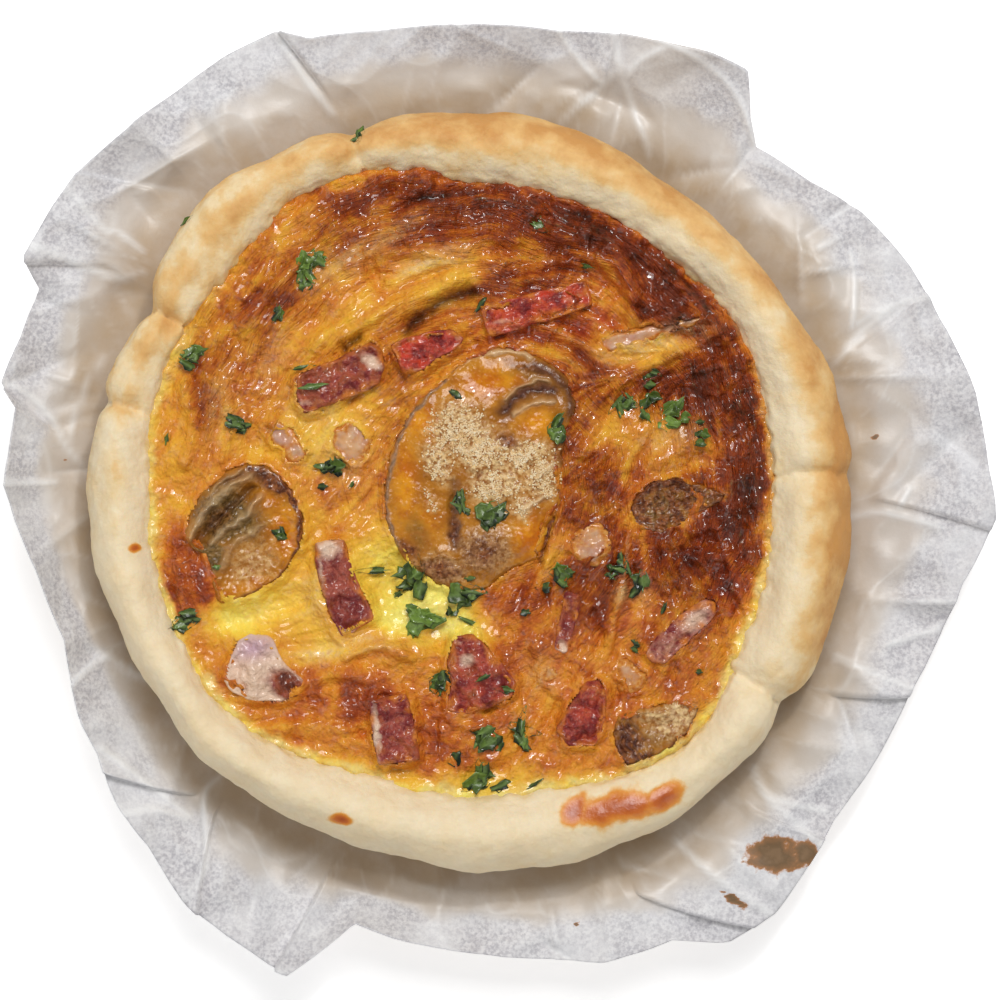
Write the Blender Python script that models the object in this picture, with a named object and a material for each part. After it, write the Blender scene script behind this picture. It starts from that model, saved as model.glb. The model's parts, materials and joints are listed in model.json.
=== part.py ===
"""Small mushroom quiche on its baking paper, as closed solids. Sizes are in millimetres."""
import math
import random

import bmesh
import bpy
import numpy as np
from mathutils import Vector
from mathutils.geometry import delaunay_2d_cdt

MM = 0.001

# Driving sizes
CENTRE = (-6.0, 1.9)      # middle of the crust, seen from above
GAP = 0.35                # clear space between pieces that touch
PAPER_T = 0.6             # thickness of the paper solid
FOOT_R = 59.0             # radius of the crust's foot
CRUST_BOTTOM = PAPER_T + 0.3
CRUST_FLOOR = 5.9         # top of the crust's floor
RIM_TOP = 31.4            # mean height of the rolled rim
FILL_EDGE_Z = 26.0        # height of the filling where it meets the rim
FILL_GRID = 4.1           # spacing of the points on the filling's top

# Radius of the crust's outer edge and of the filling's edge, one value every 15 degrees from +X
RIM_OUT = [75.6, 75.3, 73.0, 72.5, 72.7, 74.6, 74.9, 75.0, 76.9, 78.1, 73.7, 75.0,
           75.6, 75.0, 74.0, 74.8, 74.0, 73.8, 75.0, 76.1, 76.6, 76.0, 76.7, 76.2]
RIM_IN = [60.0, 60.6, 61.7, 61.2, 60.2, 60.6, 61.3, 65.2, 67.0, 64.0, 64.0, 64.5,
          63.1, 63.8, 64.4, 64.4, 61.4, 59.5, 60.7, 60.8, 64.1, 65.0, 61.7, 60.7]
# How much the rim stands above or below its mean height, one value every 30 degrees
RIM_LIFT = [0.8, 0.2, -0.3, 0.2, -0.4, -0.8, 0.2, 0.4, 0.6, 0.3, -0.4, 0.9]
# Creases between the rolls of the rim: angle, half width in degrees, depth
CREASES = [(2.6, 2.0, 1.7), (108.4, 2.0, 1.5), (150.6, 2.4, 2.3), (166.3, 1.8, 2.0), (325.7, 2.6, 2.4)]

# Bend where the paper's wall turns outward: distance past the crust and height, every 30 degrees
BEND_OFFSET = [7.0, 9.0, 9.0, 7.5, 8.5, 10.0, 7.5, 6.0, 9.0, 9.0, 11.0, 7.0]
BEND_Z = [16.0, 17.0, 15.0, 17.0, 17.0, 16.0, 16.0, 13.0, 11.0, 14.0, 15.0, 16.0]
# Corners of the paper's edge: angle, radius and height
PAPER_EDGE = [
    (3.2, 103.2, 20), (11.0, 102.3, 21), (19.7, 99.7, 19), (27.5, 98.4, 18), (35.6, 95.8, 18),
    (42.2, 91.8, 18), (50.2, 89.4, 17), (53.0, 92.9, 19), (56.5, 99.8, 23), (61.1, 98.7, 24),
    (67.0, 96.6, 23), (71.8, 95.3, 20), (78.9, 92.9, 21), (86.3, 92.3, 22), (93.8, 92.3, 22),
    (101.2, 92.9, 21), (109.6, 95.1, 21), (113.0, 99.2, 19), (119.0, 99.4, 18), (125.2, 98.9, 19),
    (133.2, 98.9, 20), (140.9, 100.4, 20), (146.3, 100.1, 21), (152.6, 99.5, 22), (154.9, 94.6, 20),
    (161.3, 94.2, 21), (167.0, 95.3, 22), (169.7, 91.1, 23), (175.1, 91.4, 24), (179.1, 91.8, 24),
    (183.0, 90.4, 23), (190.4, 87.3, 22), (200.4, 85.7, 20), (209.9, 89.6, 19), (215.2, 90.7, 20),
    (221.7, 94.2, 18), (227.8, 95.7, 17), (235.3, 100.2, 16), (244.4, 102.0, 17), (249.3, 102.6, 20),
    (255.1, 89.0, 19), (261.4, 90.6, 18), (271.1, 92.4, 17), (280.2, 95.1, 17), (286.0, 97.9, 18),
    (294.3, 98.5, 17), (299.8, 104.1, 16), (306.0, 104.1, 17), (313.7, 99.9, 18), (317.8, 98.0, 17),
    (329.3, 97.1, 16), (335.9, 96.7, 18), (343.8, 98.4, 17), (349.4, 99.9, 18), (356.9, 104.8, 20)]
# Folds across the paper's brim: angle at the bend, angle at the edge, step, its side (+1 is
# anticlockwise), reach of the step in degrees, share of the step that is left at the bend
FOLDS = [
    (109.8, 112.6, 2.8, -1, 9.0, 0.15), (136.5, 141.0, 1.6, 1, 2.0, 0.4), (148.0, 153.0, 2.0, -1, 6.0, 0.2),
    (172.0, 167.6, 3.2, 1, 7.0, 0.3), (178.8, 179.1, 1.6, 1, 2.5, 0.1), (203.5, 206.0, 1.2, 1, 4.0, 0.3),
    (228.0, 217.6, 2.2, -1, 5.0, 0.5), (231.6, 237.4, 2.4, -1, 3.0, 0.8), (249.6, 247.8, 5.0, 1, 8.0, 0.9),
    (292.4, 303.0, 1.6, 1, 3.5, 0.6), (311.6, 315.6, 2.0, -1, 5.0, 0.7), (330.6, 334.8, 2.4, 1, 6.0, 0.5),
    (358.6, 355.6, 1.5, 1, 2.5, 0.5), (20.4, 23.4, 1.4, -1, 4.0, 0.3), (71.8, 71.9, 1.8, -1, 5.0, 0.2)]

# Relief of the filling: two ends of a ridge or hollow, half width, height
RELIEF = [
    (-13.9, 49.1, 19.6, 53.0, 2.8, 1.2), (11.7, 52.1, 22.5, 49.1, 2.6, 1.2), (22.5, 49.1, 25.9, 39.3, 2.6, 1.2),
    (-6.0, 42.0, 19.6, 46.4, 3.6, 1.3), (31.4, 33.4, 46.1, 19.6, 3.0, 1.3), (19.6, 25.0, 27.0, 27.5, 3.0, 0.8),
    (-49.3, 35.3, -47.0, 33.0, 4.0, 1.0), (-59.1, 9.7, -56.0, 19.6, 4.5, 0.9), (-17.8, 34.9, -6.6, 40.8, 1.7, -2.6),
    (-62.1, -17.8, -61.0, -14.0, 3.0, 0.7), (23.5, 11.7, 19.6, 4.8, 4.0, 1.0), (37.3, -4.0, 47.1, -11.9, 3.0, 1.1),
    (-21.7, -15.8, -19.0, -20.0, 4.5, -1.5), (-11.9, -29.6, -13.0, -26.0, 3.2, -1.0),
    (-41.4, -19.8, -38.0, -13.0, 4.0, -1.1), (-50.3, -23.7, -44.0, -21.0, 2.8, -0.9),
    (-4.0, -56.2, 3.8, -53.2, 4.5, -0.8), (-31.6, -33.6, -15.8, -30.6, 3.6, 1.0),
    (3.8, -19.8, 7.8, -27.6, 3.6, 0.8), (23.5, -22.7, 25.0, -18.0, 3.6, 0.7), (39.3, 13.7, 44.0, 6.0, 6.0, 0.9),
    (-47.3, 41.2, -31.6, 55.0, 3.0, 0.9), (-33.6, 41.2, -15.8, 51.1, 3.0, 0.9), (31.4, -11.9, 39.3, -17.8, 3.2, 0.7)]

# Toppings cut flat: name, outline, how far the top stands out of the filling, thickness, middle's rise
SLICES = [
    ("mushroom_1", [(-51.3, 6.8), (-48.1, 7.4), (-45.4, 6.6), (-42.6, 4.2), (-40.3, 0.9), (-38.9, -2.1),
                    (-38.7, -6.0), (-39.5, -9.9), (-43.4, -15.3), (-48.5, -18.6), (-53.6, -20.6),
                    (-56.0, -19.8), (-56.8, -15.0), (-57.6, -11.0), (-61.1, -9.5), (-62.3, -7.0),
                    (-61.1, -3.1), (-59.2, 0.9), (-55.0, 5.0)], 1.6, 5.0, -0.5),
    ("mushroom_2", [(14.5, 20.6), (13.7, 23.5), (10.9, 26.5), (4.8, 29.6), (-0.3, 30.0), (-5.6, 28.0),
                    (-9.3, 25.5), (-12.0, 23.1), (-15.8, 20.2), (-18.2, 16.6), (-21.4, 9.7), (-23.1, 1.9),
                    (-22.1, -6.0), (-18.8, -11.9), (-13.5, -15.8), (-7.6, -18.2), (-2.4, -17.6),
                    (2.0, -13.6), (8.0, -11.9), (10.1, -6.0), (12.3, 0.9), (12.3, 6.8), (12.6, 12.0),
                    (14.9, 17.6)], 1.4, 5.0, 0.7),
    ("mushroom_3", [(25.5, -1.7), (27.3, 1.5), (30.2, 3.6), (33.4, 4.4), (36.7, 3.8), (41.0, 2.4),
                    (46.0, 1.4), (40.5, -1.8), (35.5, -4.8), (31.0, -7.2), (27.5, -6.0)], 1.3, 5.0, -0.3),
    ("mushroom_4", [(22.9, -42.4), (27.3, -41.0), (31.8, -40.1), (37.3, -38.3), (39.6, -38.4),
                    (38.7, -42.6), (37.0, -45.6), (33.8, -48.3), (28.8, -51.2), (24.6, -52.4),
                    (22.8, -50.3), (22.2, -46.4)], 1.9, 5.5, -0.6),
    ("ham_1", [(-40.1, 24.3), (-36.0, 26.3), (-32.0, 27.7), (-25.3, 31.2), (-23.1, 29.4), (-22.5, 26.3),
               (-23.7, 22.7), (-31.4, 19.2), (-38.7, 16.8), (-39.9, 20.0)], 2.6, 8.0, 0.3),
    ("ham_2", [(-21.4, 30.6), (-18.2, 32.0), (-14.3, 33.0), (-9.5, 33.6), (-7.0, 31.8), (-8.4, 29.6),
               (-12.5, 27.7), (-15.1, 25.5), (-18.6, 24.3), (-20.0, 26.7)], 2.8, 8.0, 0.2),
    ("ham_6", [(-9.2, -26.9), (-5.2, -26.3), (-3.1, -28.2), (0.5, -32.0), (3.4, -36.3), (2.3, -38.9),
               (-2.1, -41.0), (-7.6, -42.2), (-10.5, -41.4), (-10.1, -38.5), (-9.5, -35.7), (-10.5, -32.4)],
     2.8, 8.5, 0.4),
    ("ham_7", [(12.5, -42.0), (17.0, -35.5), (19.6, -35.1), (20.8, -37.9), (20.8, -42.4), (19.6, -46.4),
               (18.4, -48.4), (13.3, -48.3), (10.9, -45.0)], 2.8, 8.0, 0.3),
    ("ham_9", [(42.4, -20.0), (42.6, -22.5), (37.3, -27.7), (32.2, -32.4), (30.0, -32.0), (28.2, -30.4),
               (30.2, -27.7), (34.9, -22.9), (39.9, -19.2)], 1.8, 6.0, 0.3),
    ("ham_10", [(-54.8, -35.1), (-53.2, -31.4), (-51.5, -27.7), (-48.9, -26.1), (-44.8, -26.9),
                (-43.0, -31.4), (-38.3, -35.7), (-38.9, -38.5), (-43.2, -39.6), (-49.3, -39.5),
                (-53.0, -37.7)], 1.9, 6.0, 0.5),
    ("onion_1", [(-33.2, 14.1), (-29.2, 15.8), (-25.3, 14.3), (-24.7, 10.5), (-26.9, 7.0), (-31.2, 6.2),
                 (-33.8, 9.7)], 0.9, 4.0, 0.3),
    ("onion_3", [(22.3, -32.4), (24.3, -30.4), (26.5, -32.0), (29.0, -34.0), (29.0, -36.3), (27.5, -38.1),
                 (24.3, -38.5), (22.5, -36.1)], 0.9, 4.0, 0.3),
    ("onion_5", [(12.9, -8.4), (15.6, -4.8), (19.6, -4.0), (22.3, -6.8), (21.9, -11.1), (18.4, -13.5),
                 (14.8, -12.3)], 1.0, 4.0, 0.4),
]
# Toppings cut as strips: name, three points of the middle line, width at both ends, rise, thickness
STRIPS = [
    ("ham_3", (-3.2, 34.9), (5.8, 37.3), (17.6, 40.8), 6.7, 5.6, 2.0, 7.0),
    ("ham_4", (-33.6, -8.0), (-32.6, -16.8), (-27.7, -25.3), 6.6, 8.2, 2.3, 7.0),
    ("ham_5", (-22.1, -38.7), (-20.6, -45.4), (-19.8, -51.6), 8.2, 8.8, 2.9, 8.5),
    ("ham_8", (14.3, -18.2), (13.3, -24.7), (11.9, -30.0), 3.7, 3.0, 1.6, 4.5),
    ("onion_2", (19.6, 30.4), (30.4, 32.8), (42.4, 36.5), 4.6, 2.0, 1.0, 4.0),
    ("onion_4", (8.6, -32.8), (9.8, -34.0), (10.9, -35.4), 4.2, 4.0, 0.9, 4.0),
    ("onion_6", (-45.8, 16.0), (-41.8, 11.7), (-38.9, 7.4), 4.4, 5.0, 1.5, 5.0),
]
# Parsley flakes: what they lie on, place, length, width, angle
FLAKES = [
    ("filling", -37.1, 47.5, 6.3, 4.3, 20), ("filling", -38.9, 43.4, 5.5, 3.5, 60), ("filling", -43.4, 37.1, 4.3, 2.6, -70),
    ("filling", -59.0, 28.0, 4.9, 3.5, -10), ("filling", -51.7, 14.9, 4.9, 3.9, 0), ("filling", -34.4, 3.2, 4.7, 4.4, 0),
    ("filling", -61.0, -23.3, 5.6, 2.8, -45), ("filling", -24.9, -14.3, 5.6, 2.0, 0), ("filling", -17.6, -20.4, 6.4, 4.4, 75),
    ("filling", -13.6, -24.4, 6.6, 4.6, 0), ("filling", -4.4, -21.8, 5.2, 3.6, 30), ("filling", -13.4, -35.9, 4.6, 4.4, 0),
    ("filling", -2.5, -46.8, 6.7, 5.6, 60), ("filling", 4.4, -45.6, 8.4, 3.4, -75), ("filling", -2.9, -53.8, 7.2, 4.6, 30),
    ("filling", 8.0, 53.4, 4.7, 2.8, 85), ("filling", 29.6, 23.9, 4.2, 3.5, 0), ("filling", 24.3, 19.2, 5.2, 2.9, 0),
    ("filling", 34.4, 16.2, 6.3, 4.2, 50), ("filling", 40.2, 12.0, 3.6, 2.8, 0), ("filling", 12.3, -15.6, 4.4, 3.4, 0),
    ("filling", 24.5, -13.6, 4.4, 2.8, -60), ("filling", 28.4, -15.2, 4.4, 3.4, 0), ("filling", 25.4, -27.2, 3.4, 2.4, 0),
    ("mushroom_1", -42.6, -7.2, 4.2, 3.0, -30), ("mushroom_2", -7.8, -1.1, 5.9, 2.6, 85),
    ("mushroom_2", -2.1, -2.5, 6.7, 5.2, 40), ("mushroom_2", 10.6, 15.6, 5.2, 3.4, 80), ("ham_1", -35.2, 21.8, 5.0, 2.2, 15)]

COLOURS = {"crust": (0.76, 0.60, 0.40), "filling": (0.50, 0.22, 0.06), "baking_paper": (0.66, 0.62, 0.58),
           "mushroom": (0.36, 0.22, 0.10), "ham": (0.38, 0.09, 0.06), "onion": (0.60, 0.42, 0.30)}


def around(table, angle):
    """Read a closed table of evenly spaced values at an angle in degrees, smoothly."""
    n = len(table)
    t = (angle % 360.0) * n / 360.0
    i = int(t)
    f = t - i
    a, b, c, d = [table[(i + k) % n] for k in (-1, 0, 1, 2)]
    return b + 0.5 * f * (c - a + f * (2 * a - 5 * b + 4 * c - d + f * (3 * (b - c) + d - a)))


def turn(a, b):
    """Signed angle from b to a, in degrees."""
    return (a - b + 180.0) % 360.0 - 180.0


def crease(angle):
    """Depth of the creases of the rim at an angle."""
    return sum(depth * math.exp(-(turn(angle, at) / width) ** 2) for at, width, depth in CREASES)


def polar(angle, radius):
    """Point at an angle and radius round the middle of the crust."""
    a = math.radians(angle)
    return CENTRE[0] + radius * math.cos(a), CENTRE[1] + radius * math.sin(a)


def segment_distance(x, y, x0, y0, x1, y1):
    """Distance from a point to a straight segment."""
    dx, dy = x1 - x0, y1 - y0
    t = max(0.0, min(1.0, ((x - x0) * dx + (y - y0) * dy) / (dx * dx + dy * dy)))
    return math.hypot(x - x0 - t * dx, y - y0 - t * dy)


def filling_z(x, y):
    """Height of the filling's top."""
    px, py = x - CENTRE[0], y - CENTRE[1]
    edge = around(RIM_IN, math.degrees(math.atan2(py, px))) - math.hypot(px, py)
    z = 26.6 + 0.5 * math.sin(x * 0.11 + 1.0) * math.cos(y * 0.09)
    z += 0.28 * math.sin(x * 0.55 + 0.4 * y) * math.sin(y * 0.47 - 0.3 * x + 2.0)
    for x0, y0, x1, y1, width, height in RELIEF:
        z += height * math.exp(-(segment_distance(x, y, x0, y0, x1, y1) / width) ** 2)
    blend = min(1.0, max(0.0, (edge - 0.6) / 4.0))
    return FILL_EDGE_Z + (z - FILL_EDGE_Z) * blend


def material(name, colour):
    mat = bpy.data.materials.get(name)
    if mat is None:
        mat = bpy.data.materials.new(name)
        mat.use_nodes = True
        shader = mat.node_tree.nodes["Principled BSDF"]
        shader.inputs["Base Color"].default_value = (*colour, 1.0)
        shader.inputs["Roughness"].default_value = 0.5
    return mat


def add_object(name, verts, faces, kind=None):
    """Closed mesh object from points in millimetres, smooth, with its material."""
    mesh = bpy.data.meshes.new(name)
    mesh.from_pydata([(x * MM, y * MM, z * MM) for x, y, z in verts], [], faces)
    bm = bmesh.new()
    bm.from_mesh(mesh)
    bmesh.ops.triangulate(bm, faces=[f for f in bm.faces if len(f.verts) > 4])
    bmesh.ops.recalc_face_normals(bm, faces=bm.faces)
    bm.to_mesh(mesh)
    bm.free()
    mesh.polygons.foreach_set("use_smooth", [True] * len(mesh.polygons))
    obj = bpy.data.objects.new(name, mesh)
    bpy.context.scene.collection.objects.link(obj)
    if kind:
        mesh.materials.append(material(kind, COLOURS[kind]))
    return obj


def rings_solid(name, rings, kind=None):
    """Closed solid through rings of equal count. A ring of one point closes an end."""
    verts, faces, start = [], [], []
    for ring in rings:
        start.append(len(verts))
        verts.extend(ring)
    for a, b, low, high in zip(start, start[1:], rings, rings[1:]):
        n = max(len(low), len(high))
        for i in range(n):
            j = (i + 1) % n
            if len(low) == 1:
                faces.append((a, b + i, b + j))
            elif len(high) == 1:
                faces.append((a + i, b, a + j))
            else:
                faces.append((a + i, a + j, b + j, b + i))
    for begin, ring in ((start[0], rings[0]), (start[-1], rings[-1])):
        if len(ring) > 1:
            faces.append(tuple(range(begin, begin + len(ring))))
    return add_object(name, verts, faces, kind)


def crust_angles():
    """Column angles of the crust: even, with three at each crease."""
    special = [at + k for at, width, _ in CREASES for k in (-width, 0.0, width)]
    even = [k * 360.0 / 80 for k in range(80)]
    kept = [a for a in even if min(abs(turn(a, s)) for s in special) > 1.5]
    return sorted(a % 360.0 for a in kept + special)


def build_crust(angles):
    rings = [[(*CENTRE, CRUST_BOTTOM)]] + [[] for _ in range(15)] + [[(*CENTRE, CRUST_FLOOR)]]
    for angle in angles:
        dip = crease(angle)
        r_out = around(RIM_OUT, angle) + 0.25 * math.sin(math.radians(angle) * 23)
        r_in = around(RIM_IN, angle)
        width = r_out - r_in
        top = RIM_TOP + around(RIM_LIFT, angle) - dip + 0.2 * math.sin(math.radians(angle) * 17 + 1)
        profile = [(57.0, CRUST_BOTTOM), (FOOT_R, CRUST_BOTTOM + 1.5), (62.6, 10.0), (r_out - 8.0, 17.8),
                   (r_out - 3.0 - 0.4 * dip, 18.8), (r_out - 0.7 - 0.5 * dip, 21.2),
                   (r_out - 0.6 * dip, 24.0), (r_out - 0.12 * width - 0.4 * dip, 27.8 - 0.4 * dip),
                   (r_out - 0.30 * width, top - 1.0), (r_out - 0.48 * width, top),
                   (r_out - 0.70 * width, top - 0.8), (r_in + 0.1 * width, 28.6 - 0.2 * dip), (r_in, 26.6),
                   (r_in - 1.2, 23.0), (55.0, CRUST_FLOOR)]
        for ring, (r, z) in zip(rings[1:-1], profile):
            ring.append((*polar(angle, r), z))
    return rings_solid("crust", rings, "crust")


def build_filling(angles):
    """Solid that fills the crust: side rings below a top made of evenly spread points."""
    side = []
    for angle in angles:
        r_in = around(RIM_IN, angle)
        side.append([(54.4, CRUST_FLOOR + GAP), (r_in - 1.75, 23.0), (r_in - 0.6, None)])
    n = len(angles)
    verts, faces = [], []
    for k in range(3):
        for angle, column in zip(angles, side):
            r, z = column[k]
            x, y = polar(angle, r)
            verts.append((x, y, filling_z(x, y) if z is None else z))
    for k in range(2):
        for i in range(n):
            j = (i + 1) % n
            faces.append((k * n + i, k * n + j, (k + 1) * n + j, (k + 1) * n + i))
    verts.append((*CENTRE, CRUST_FLOOR + GAP))
    faces.extend((3 * n, (i + 1) % n, i) for i in range(n))
    flat = [Vector(verts[2 * n + i][:2]) for i in range(n)]
    for row in range(-22, 23):
        for col in range(-22, 23):
            x = CENTRE[0] + (col + 0.5 * (row % 2)) * FILL_GRID
            y = CENTRE[1] + row * FILL_GRID * math.sqrt(0.75)
            angle = math.degrees(math.atan2(y - CENTRE[1], x - CENTRE[0]))
            if math.hypot(x - CENTRE[0], y - CENTRE[1]) < around(RIM_IN, angle) - 2.4:
                flat.append(Vector((x, y)))
    points, _, triangles, origin = delaunay_2d_cdt(flat, [], [list(range(n))], 1, 1e-5)[:4]
    index = {}
    for new, old in enumerate(origin):
        if old and old[0] < n:
            index[new] = 2 * n + old[0]
        else:
            index[new] = len(verts)
            verts.append((points[new].x, points[new].y, filling_z(points[new].x, points[new].y)))
    faces.extend(tuple(index[i] for i in tri) for tri in triangles)
    return add_object("filling", verts, faces, "filling")


def edge_at(angle):
    """Radius and height of the paper's edge at an angle."""
    table = sorted(PAPER_EDGE)
    table = [(table[-1][0] - 360.0, *table[-1][1:])] + table + [(table[0][0] + 360.0, *table[0][1:])]
    angle %= 360.0
    for (a0, r0, z0), (a1, r1, z1) in zip(table, table[1:]):
        if a0 <= angle <= a1:
            f = (angle - a0) / (a1 - a0)
            return r0 + f * (r1 - r0), z0 + f * (z1 - z0)


def fold_step(angle, t):
    """Rise of the folds at an angle, at a share t of the way from the bend to the edge."""
    rise = 0.0
    for inner, outer, step, side, reach, left in FOLDS:
        d = side * turn(angle, inner + turn(outer, inner) * t)
        if d > 0.0:
            rise += step * (left + (1.0 - left) * t) * math.exp(-d / reach)
    dip = abs(turn(angle, 70.5)) / 8.5 + t / 0.55
    return rise - 4.0 * max(0.0, 1.0 - dip)


def paper_columns():
    """Angles of each column of the paper at the bend and at the edge."""
    folds = []
    for inner, outer, *_ in FOLDS:
        for k in (-0.35, 0.35):
            folds.append((inner + k, outer + k))

    def clear(angle, taken, least):
        return all(min(abs(turn(angle, a)), abs(turn(angle, b))) > least
                   and turn(angle, a) * turn(angle, b) > 0 for a, b in taken)
    columns = list(folds)
    for angle, _, _ in PAPER_EDGE:
        if clear(angle, folds, 0.8):
            columns.append((angle, angle))
    for k in range(120):
        angle = k * 3.0
        if clear(angle, columns, 1.9):
            columns.append((angle, angle))
    return sorted(columns, key=lambda c: (c[0] + c[1]) / 2 % 360.0)


def build_paper():
    """Thin solid: flat base, wall up the crust, bend and folded brim."""
    columns = paper_columns()
    upper, lower = [], []
    for inner, outer in columns:
        r_out = around(RIM_OUT, inner)
        r_bend, z_bend = r_out + around(BEND_OFFSET, inner), around(BEND_Z, inner)
        r_edge, z_edge = edge_at(outer)
        path = [(inner, 58.4, PAPER_T), (inner, 60.3, 1.7), (inner, 63.0 + 0.1 * (r_bend - 78.0), 0.42 * z_bend),
                (inner, r_bend - 5.0, z_bend - 1.9)]
        for t in (0.0, 0.3, 0.65, 1.0):
            angle = inner + turn(outer, inner) * t
            r = r_bend + (r_edge - r_bend) * t
            ripple = 0.35 * math.sin(math.radians(angle) * 31) * t
            path.append((angle, r, z_bend + (z_edge - z_bend) * t ** 1.3 + fold_step(angle, t) + ripple))
        under = []
        for k, (angle, r, z) in enumerate(path):
            _, r0, z0 = path[max(k - 1, 0)]
            _, r1, z1 = path[min(k + 1, len(path) - 1)]
            length = math.hypot(r1 - r0, z1 - z0)
            dr, dz = (r1 - r0) / length, (z1 - z0) / length
            under.append((angle, r + PAPER_T * dz, z - PAPER_T * dr))
        under[0] = (inner, 58.6, 0.0)
        upper.append([(*polar(a, r), z) for a, r, z in path])
        lower.append([(*polar(a, r), z) for a, r, z in under])
    rings = [[(*CENTRE, 0.0)]]
    rings += [[column[k] for column in lower] for k in range(8)]
    rings += [[column[k] for column in upper] for k in reversed(range(8))]
    rings.append([(*CENTRE, PAPER_T)])
    return rings_solid("baking_paper", rings, "baking_paper")


def grow(outline, distance):
    """Outline moved outward by a distance, or inward where it is negative."""
    n = len(outline)
    area = sum(a[0] * b[1] - b[0] * a[1] for a, b in zip(outline, outline[1:] + outline[:1]))
    sign = 1.0 if area > 0 else -1.0
    result = []
    for i in range(n):
        (x0, y0), (x, y), (x1, y1) = outline[i - 1], outline[i], outline[(i + 1) % n]
        a = Vector((y - y0, x0 - x)).normalized() * sign
        b = Vector((y1 - y, x - x1)).normalized() * sign
        m = (a + b) / max(0.6, 1.0 + a.dot(b))
        result.append((x + m.x * distance, y + m.y * distance))
    return result


def middle(outline):
    return sum(p[0] for p in outline) / len(outline), sum(p[1] for p in outline) / len(outline)


def scaled(outline, factor):
    cx, cy = middle(outline)
    return [(cx + (x - cx) * factor, cy + (y - cy) * factor) for x, y in outline]


def level(outline, z):
    return [(x, y, z) for x, y in outline]


def slice_solid(name, outline, top, thickness, rise):
    """Slice with softened edges, its top dished or domed."""
    bottom = top - thickness
    rings = [[(*middle(outline), bottom)], level(grow(outline, -0.7), bottom), level(outline, bottom + 1.0),
             level(outline, top - 1.1), level(grow(outline, -0.9), top), level(scaled(outline, 0.45), top + rise),
             [(*middle(outline), top + rise * 0.8)]]
    return rings_solid(name, rings, name.rsplit("_", 1)[0])


def strip_outline(p0, p1, p2, width0, width1, extra=0.0):
    """Outline of a bent strip, with cut-off corners."""
    left, right = [], []
    steps = 4
    for k in range(steps + 1):
        t = k / steps
        x = (1 - t) ** 2 * p0[0] + 2 * t * (1 - t) * p1[0] + t * t * p2[0]
        y = (1 - t) ** 2 * p0[1] + 2 * t * (1 - t) * p1[1] + t * t * p2[1]
        d = Vector((2 * (1 - t) * (p1[0] - p0[0]) + 2 * t * (p2[0] - p1[0]),
                    2 * (1 - t) * (p1[1] - p0[1]) + 2 * t * (p2[1] - p1[1]))).normalized()
        half = (width0 + (width1 - width0) * t) / 2 + extra
        if k in (0, steps):
            half *= 0.72
        left.append((x - d.y * half, y + d.x * half))
        right.append((x + d.y * half, y - d.x * half))
    return left + right[::-1]


def pocket_cutter(name, outline, bottom):
    """Straight-sided cutter that keeps the filling clear of a topping."""
    wide = grow(outline, GAP + 0.05)
    cutter = rings_solid(name, [level(wide, bottom - GAP), level(wide, 45.0)])
    cutter.display_type = 'WIRE'
    cutter.hide_render = True
    return cutter


def flake_solid(index, surface, x, y, length, width, angle):
    """Thin wavy leaf on a surface, both faces split into triangles alike."""
    rng = random.Random(100 + index)
    c, s = math.cos(math.radians(angle)), math.sin(math.radians(angle))
    outline = []
    for k in range(8):
        a = k * math.tau / 8
        lobe = (1.0 if k % 2 == 0 else 0.74) * rng.uniform(0.88, 1.08)
        u, v = 0.5 * length * lobe * math.cos(a), 0.5 * width * lobe * math.sin(a)
        outline.append((x + u * c - v * s, y + u * s + v * c, 0.15 * (-1) ** k))
    low = [(px, py, surface(px, py) - 0.45 + w) for px, py, w in outline]
    high = [(px, py, surface(px, py) + 0.5 + w) for px, py, w in outline]
    rings = [[(x, y, surface(x, y) - 0.45)], low, high, [(x, y, surface(x, y) + 0.75)]]
    return rings_solid(f"flake_{index}", rings)


def collect(name, objects):
    group = bpy.data.collections.new(name)
    bpy.context.scene.collection.children.link(group)
    for obj in objects:
        bpy.context.scene.collection.objects.unlink(obj)
        group.objects.link(obj)
    return group


def boolean(obj, group, operation, solver):
    """Apply a Boolean with a collection, then remove the collection's objects."""
    mod = obj.modifiers.new(operation.lower(), 'BOOLEAN')
    mod.operand_type = 'COLLECTION'
    mod.collection = group
    mod.operation = operation
    mod.solver = solver
    bpy.context.view_layer.update()
    graph = bpy.context.evaluated_depsgraph_get()
    mesh = bpy.data.meshes.new_from_object(obj.evaluated_get(graph))
    obj.modifiers.clear()
    old, obj.data = obj.data, mesh
    bpy.data.meshes.remove(old)
    mesh.name = obj.name
    for other in list(group.objects):
        bpy.data.objects.remove(other)
    bpy.data.collections.remove(group)


def keep_largest(obj):
    """Drop loose scraps that a cut leaves, and weld points that lie together."""
    bm = bmesh.new()
    bm.from_mesh(obj.data)
    bmesh.ops.remove_doubles(bm, verts=bm.verts, dist=0.004 * MM)
    bm.verts.ensure_lookup_table()
    seen, islands = set(), []
    for vert in bm.verts:
        if vert in seen:
            continue
        stack, island = [vert], []
        seen.add(vert)
        while stack:
            v = stack.pop()
            island.append(v)
            for edge in v.link_edges:
                other = edge.other_vert(v)
                if other not in seen:
                    seen.add(other)
                    stack.append(other)
        islands.append(island)
    islands.sort(key=len)
    for island in islands[:-1]:
        bmesh.ops.delete(bm, geom=island, context='VERTS')
    bmesh.ops.triangulate(bm, faces=bm.faces)
    bmesh.ops.recalc_face_normals(bm, faces=bm.faces)
    bm.to_mesh(obj.data)
    bm.free()
    obj.data.polygons.foreach_set("use_smooth", [True] * len(obj.data.polygons))


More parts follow.
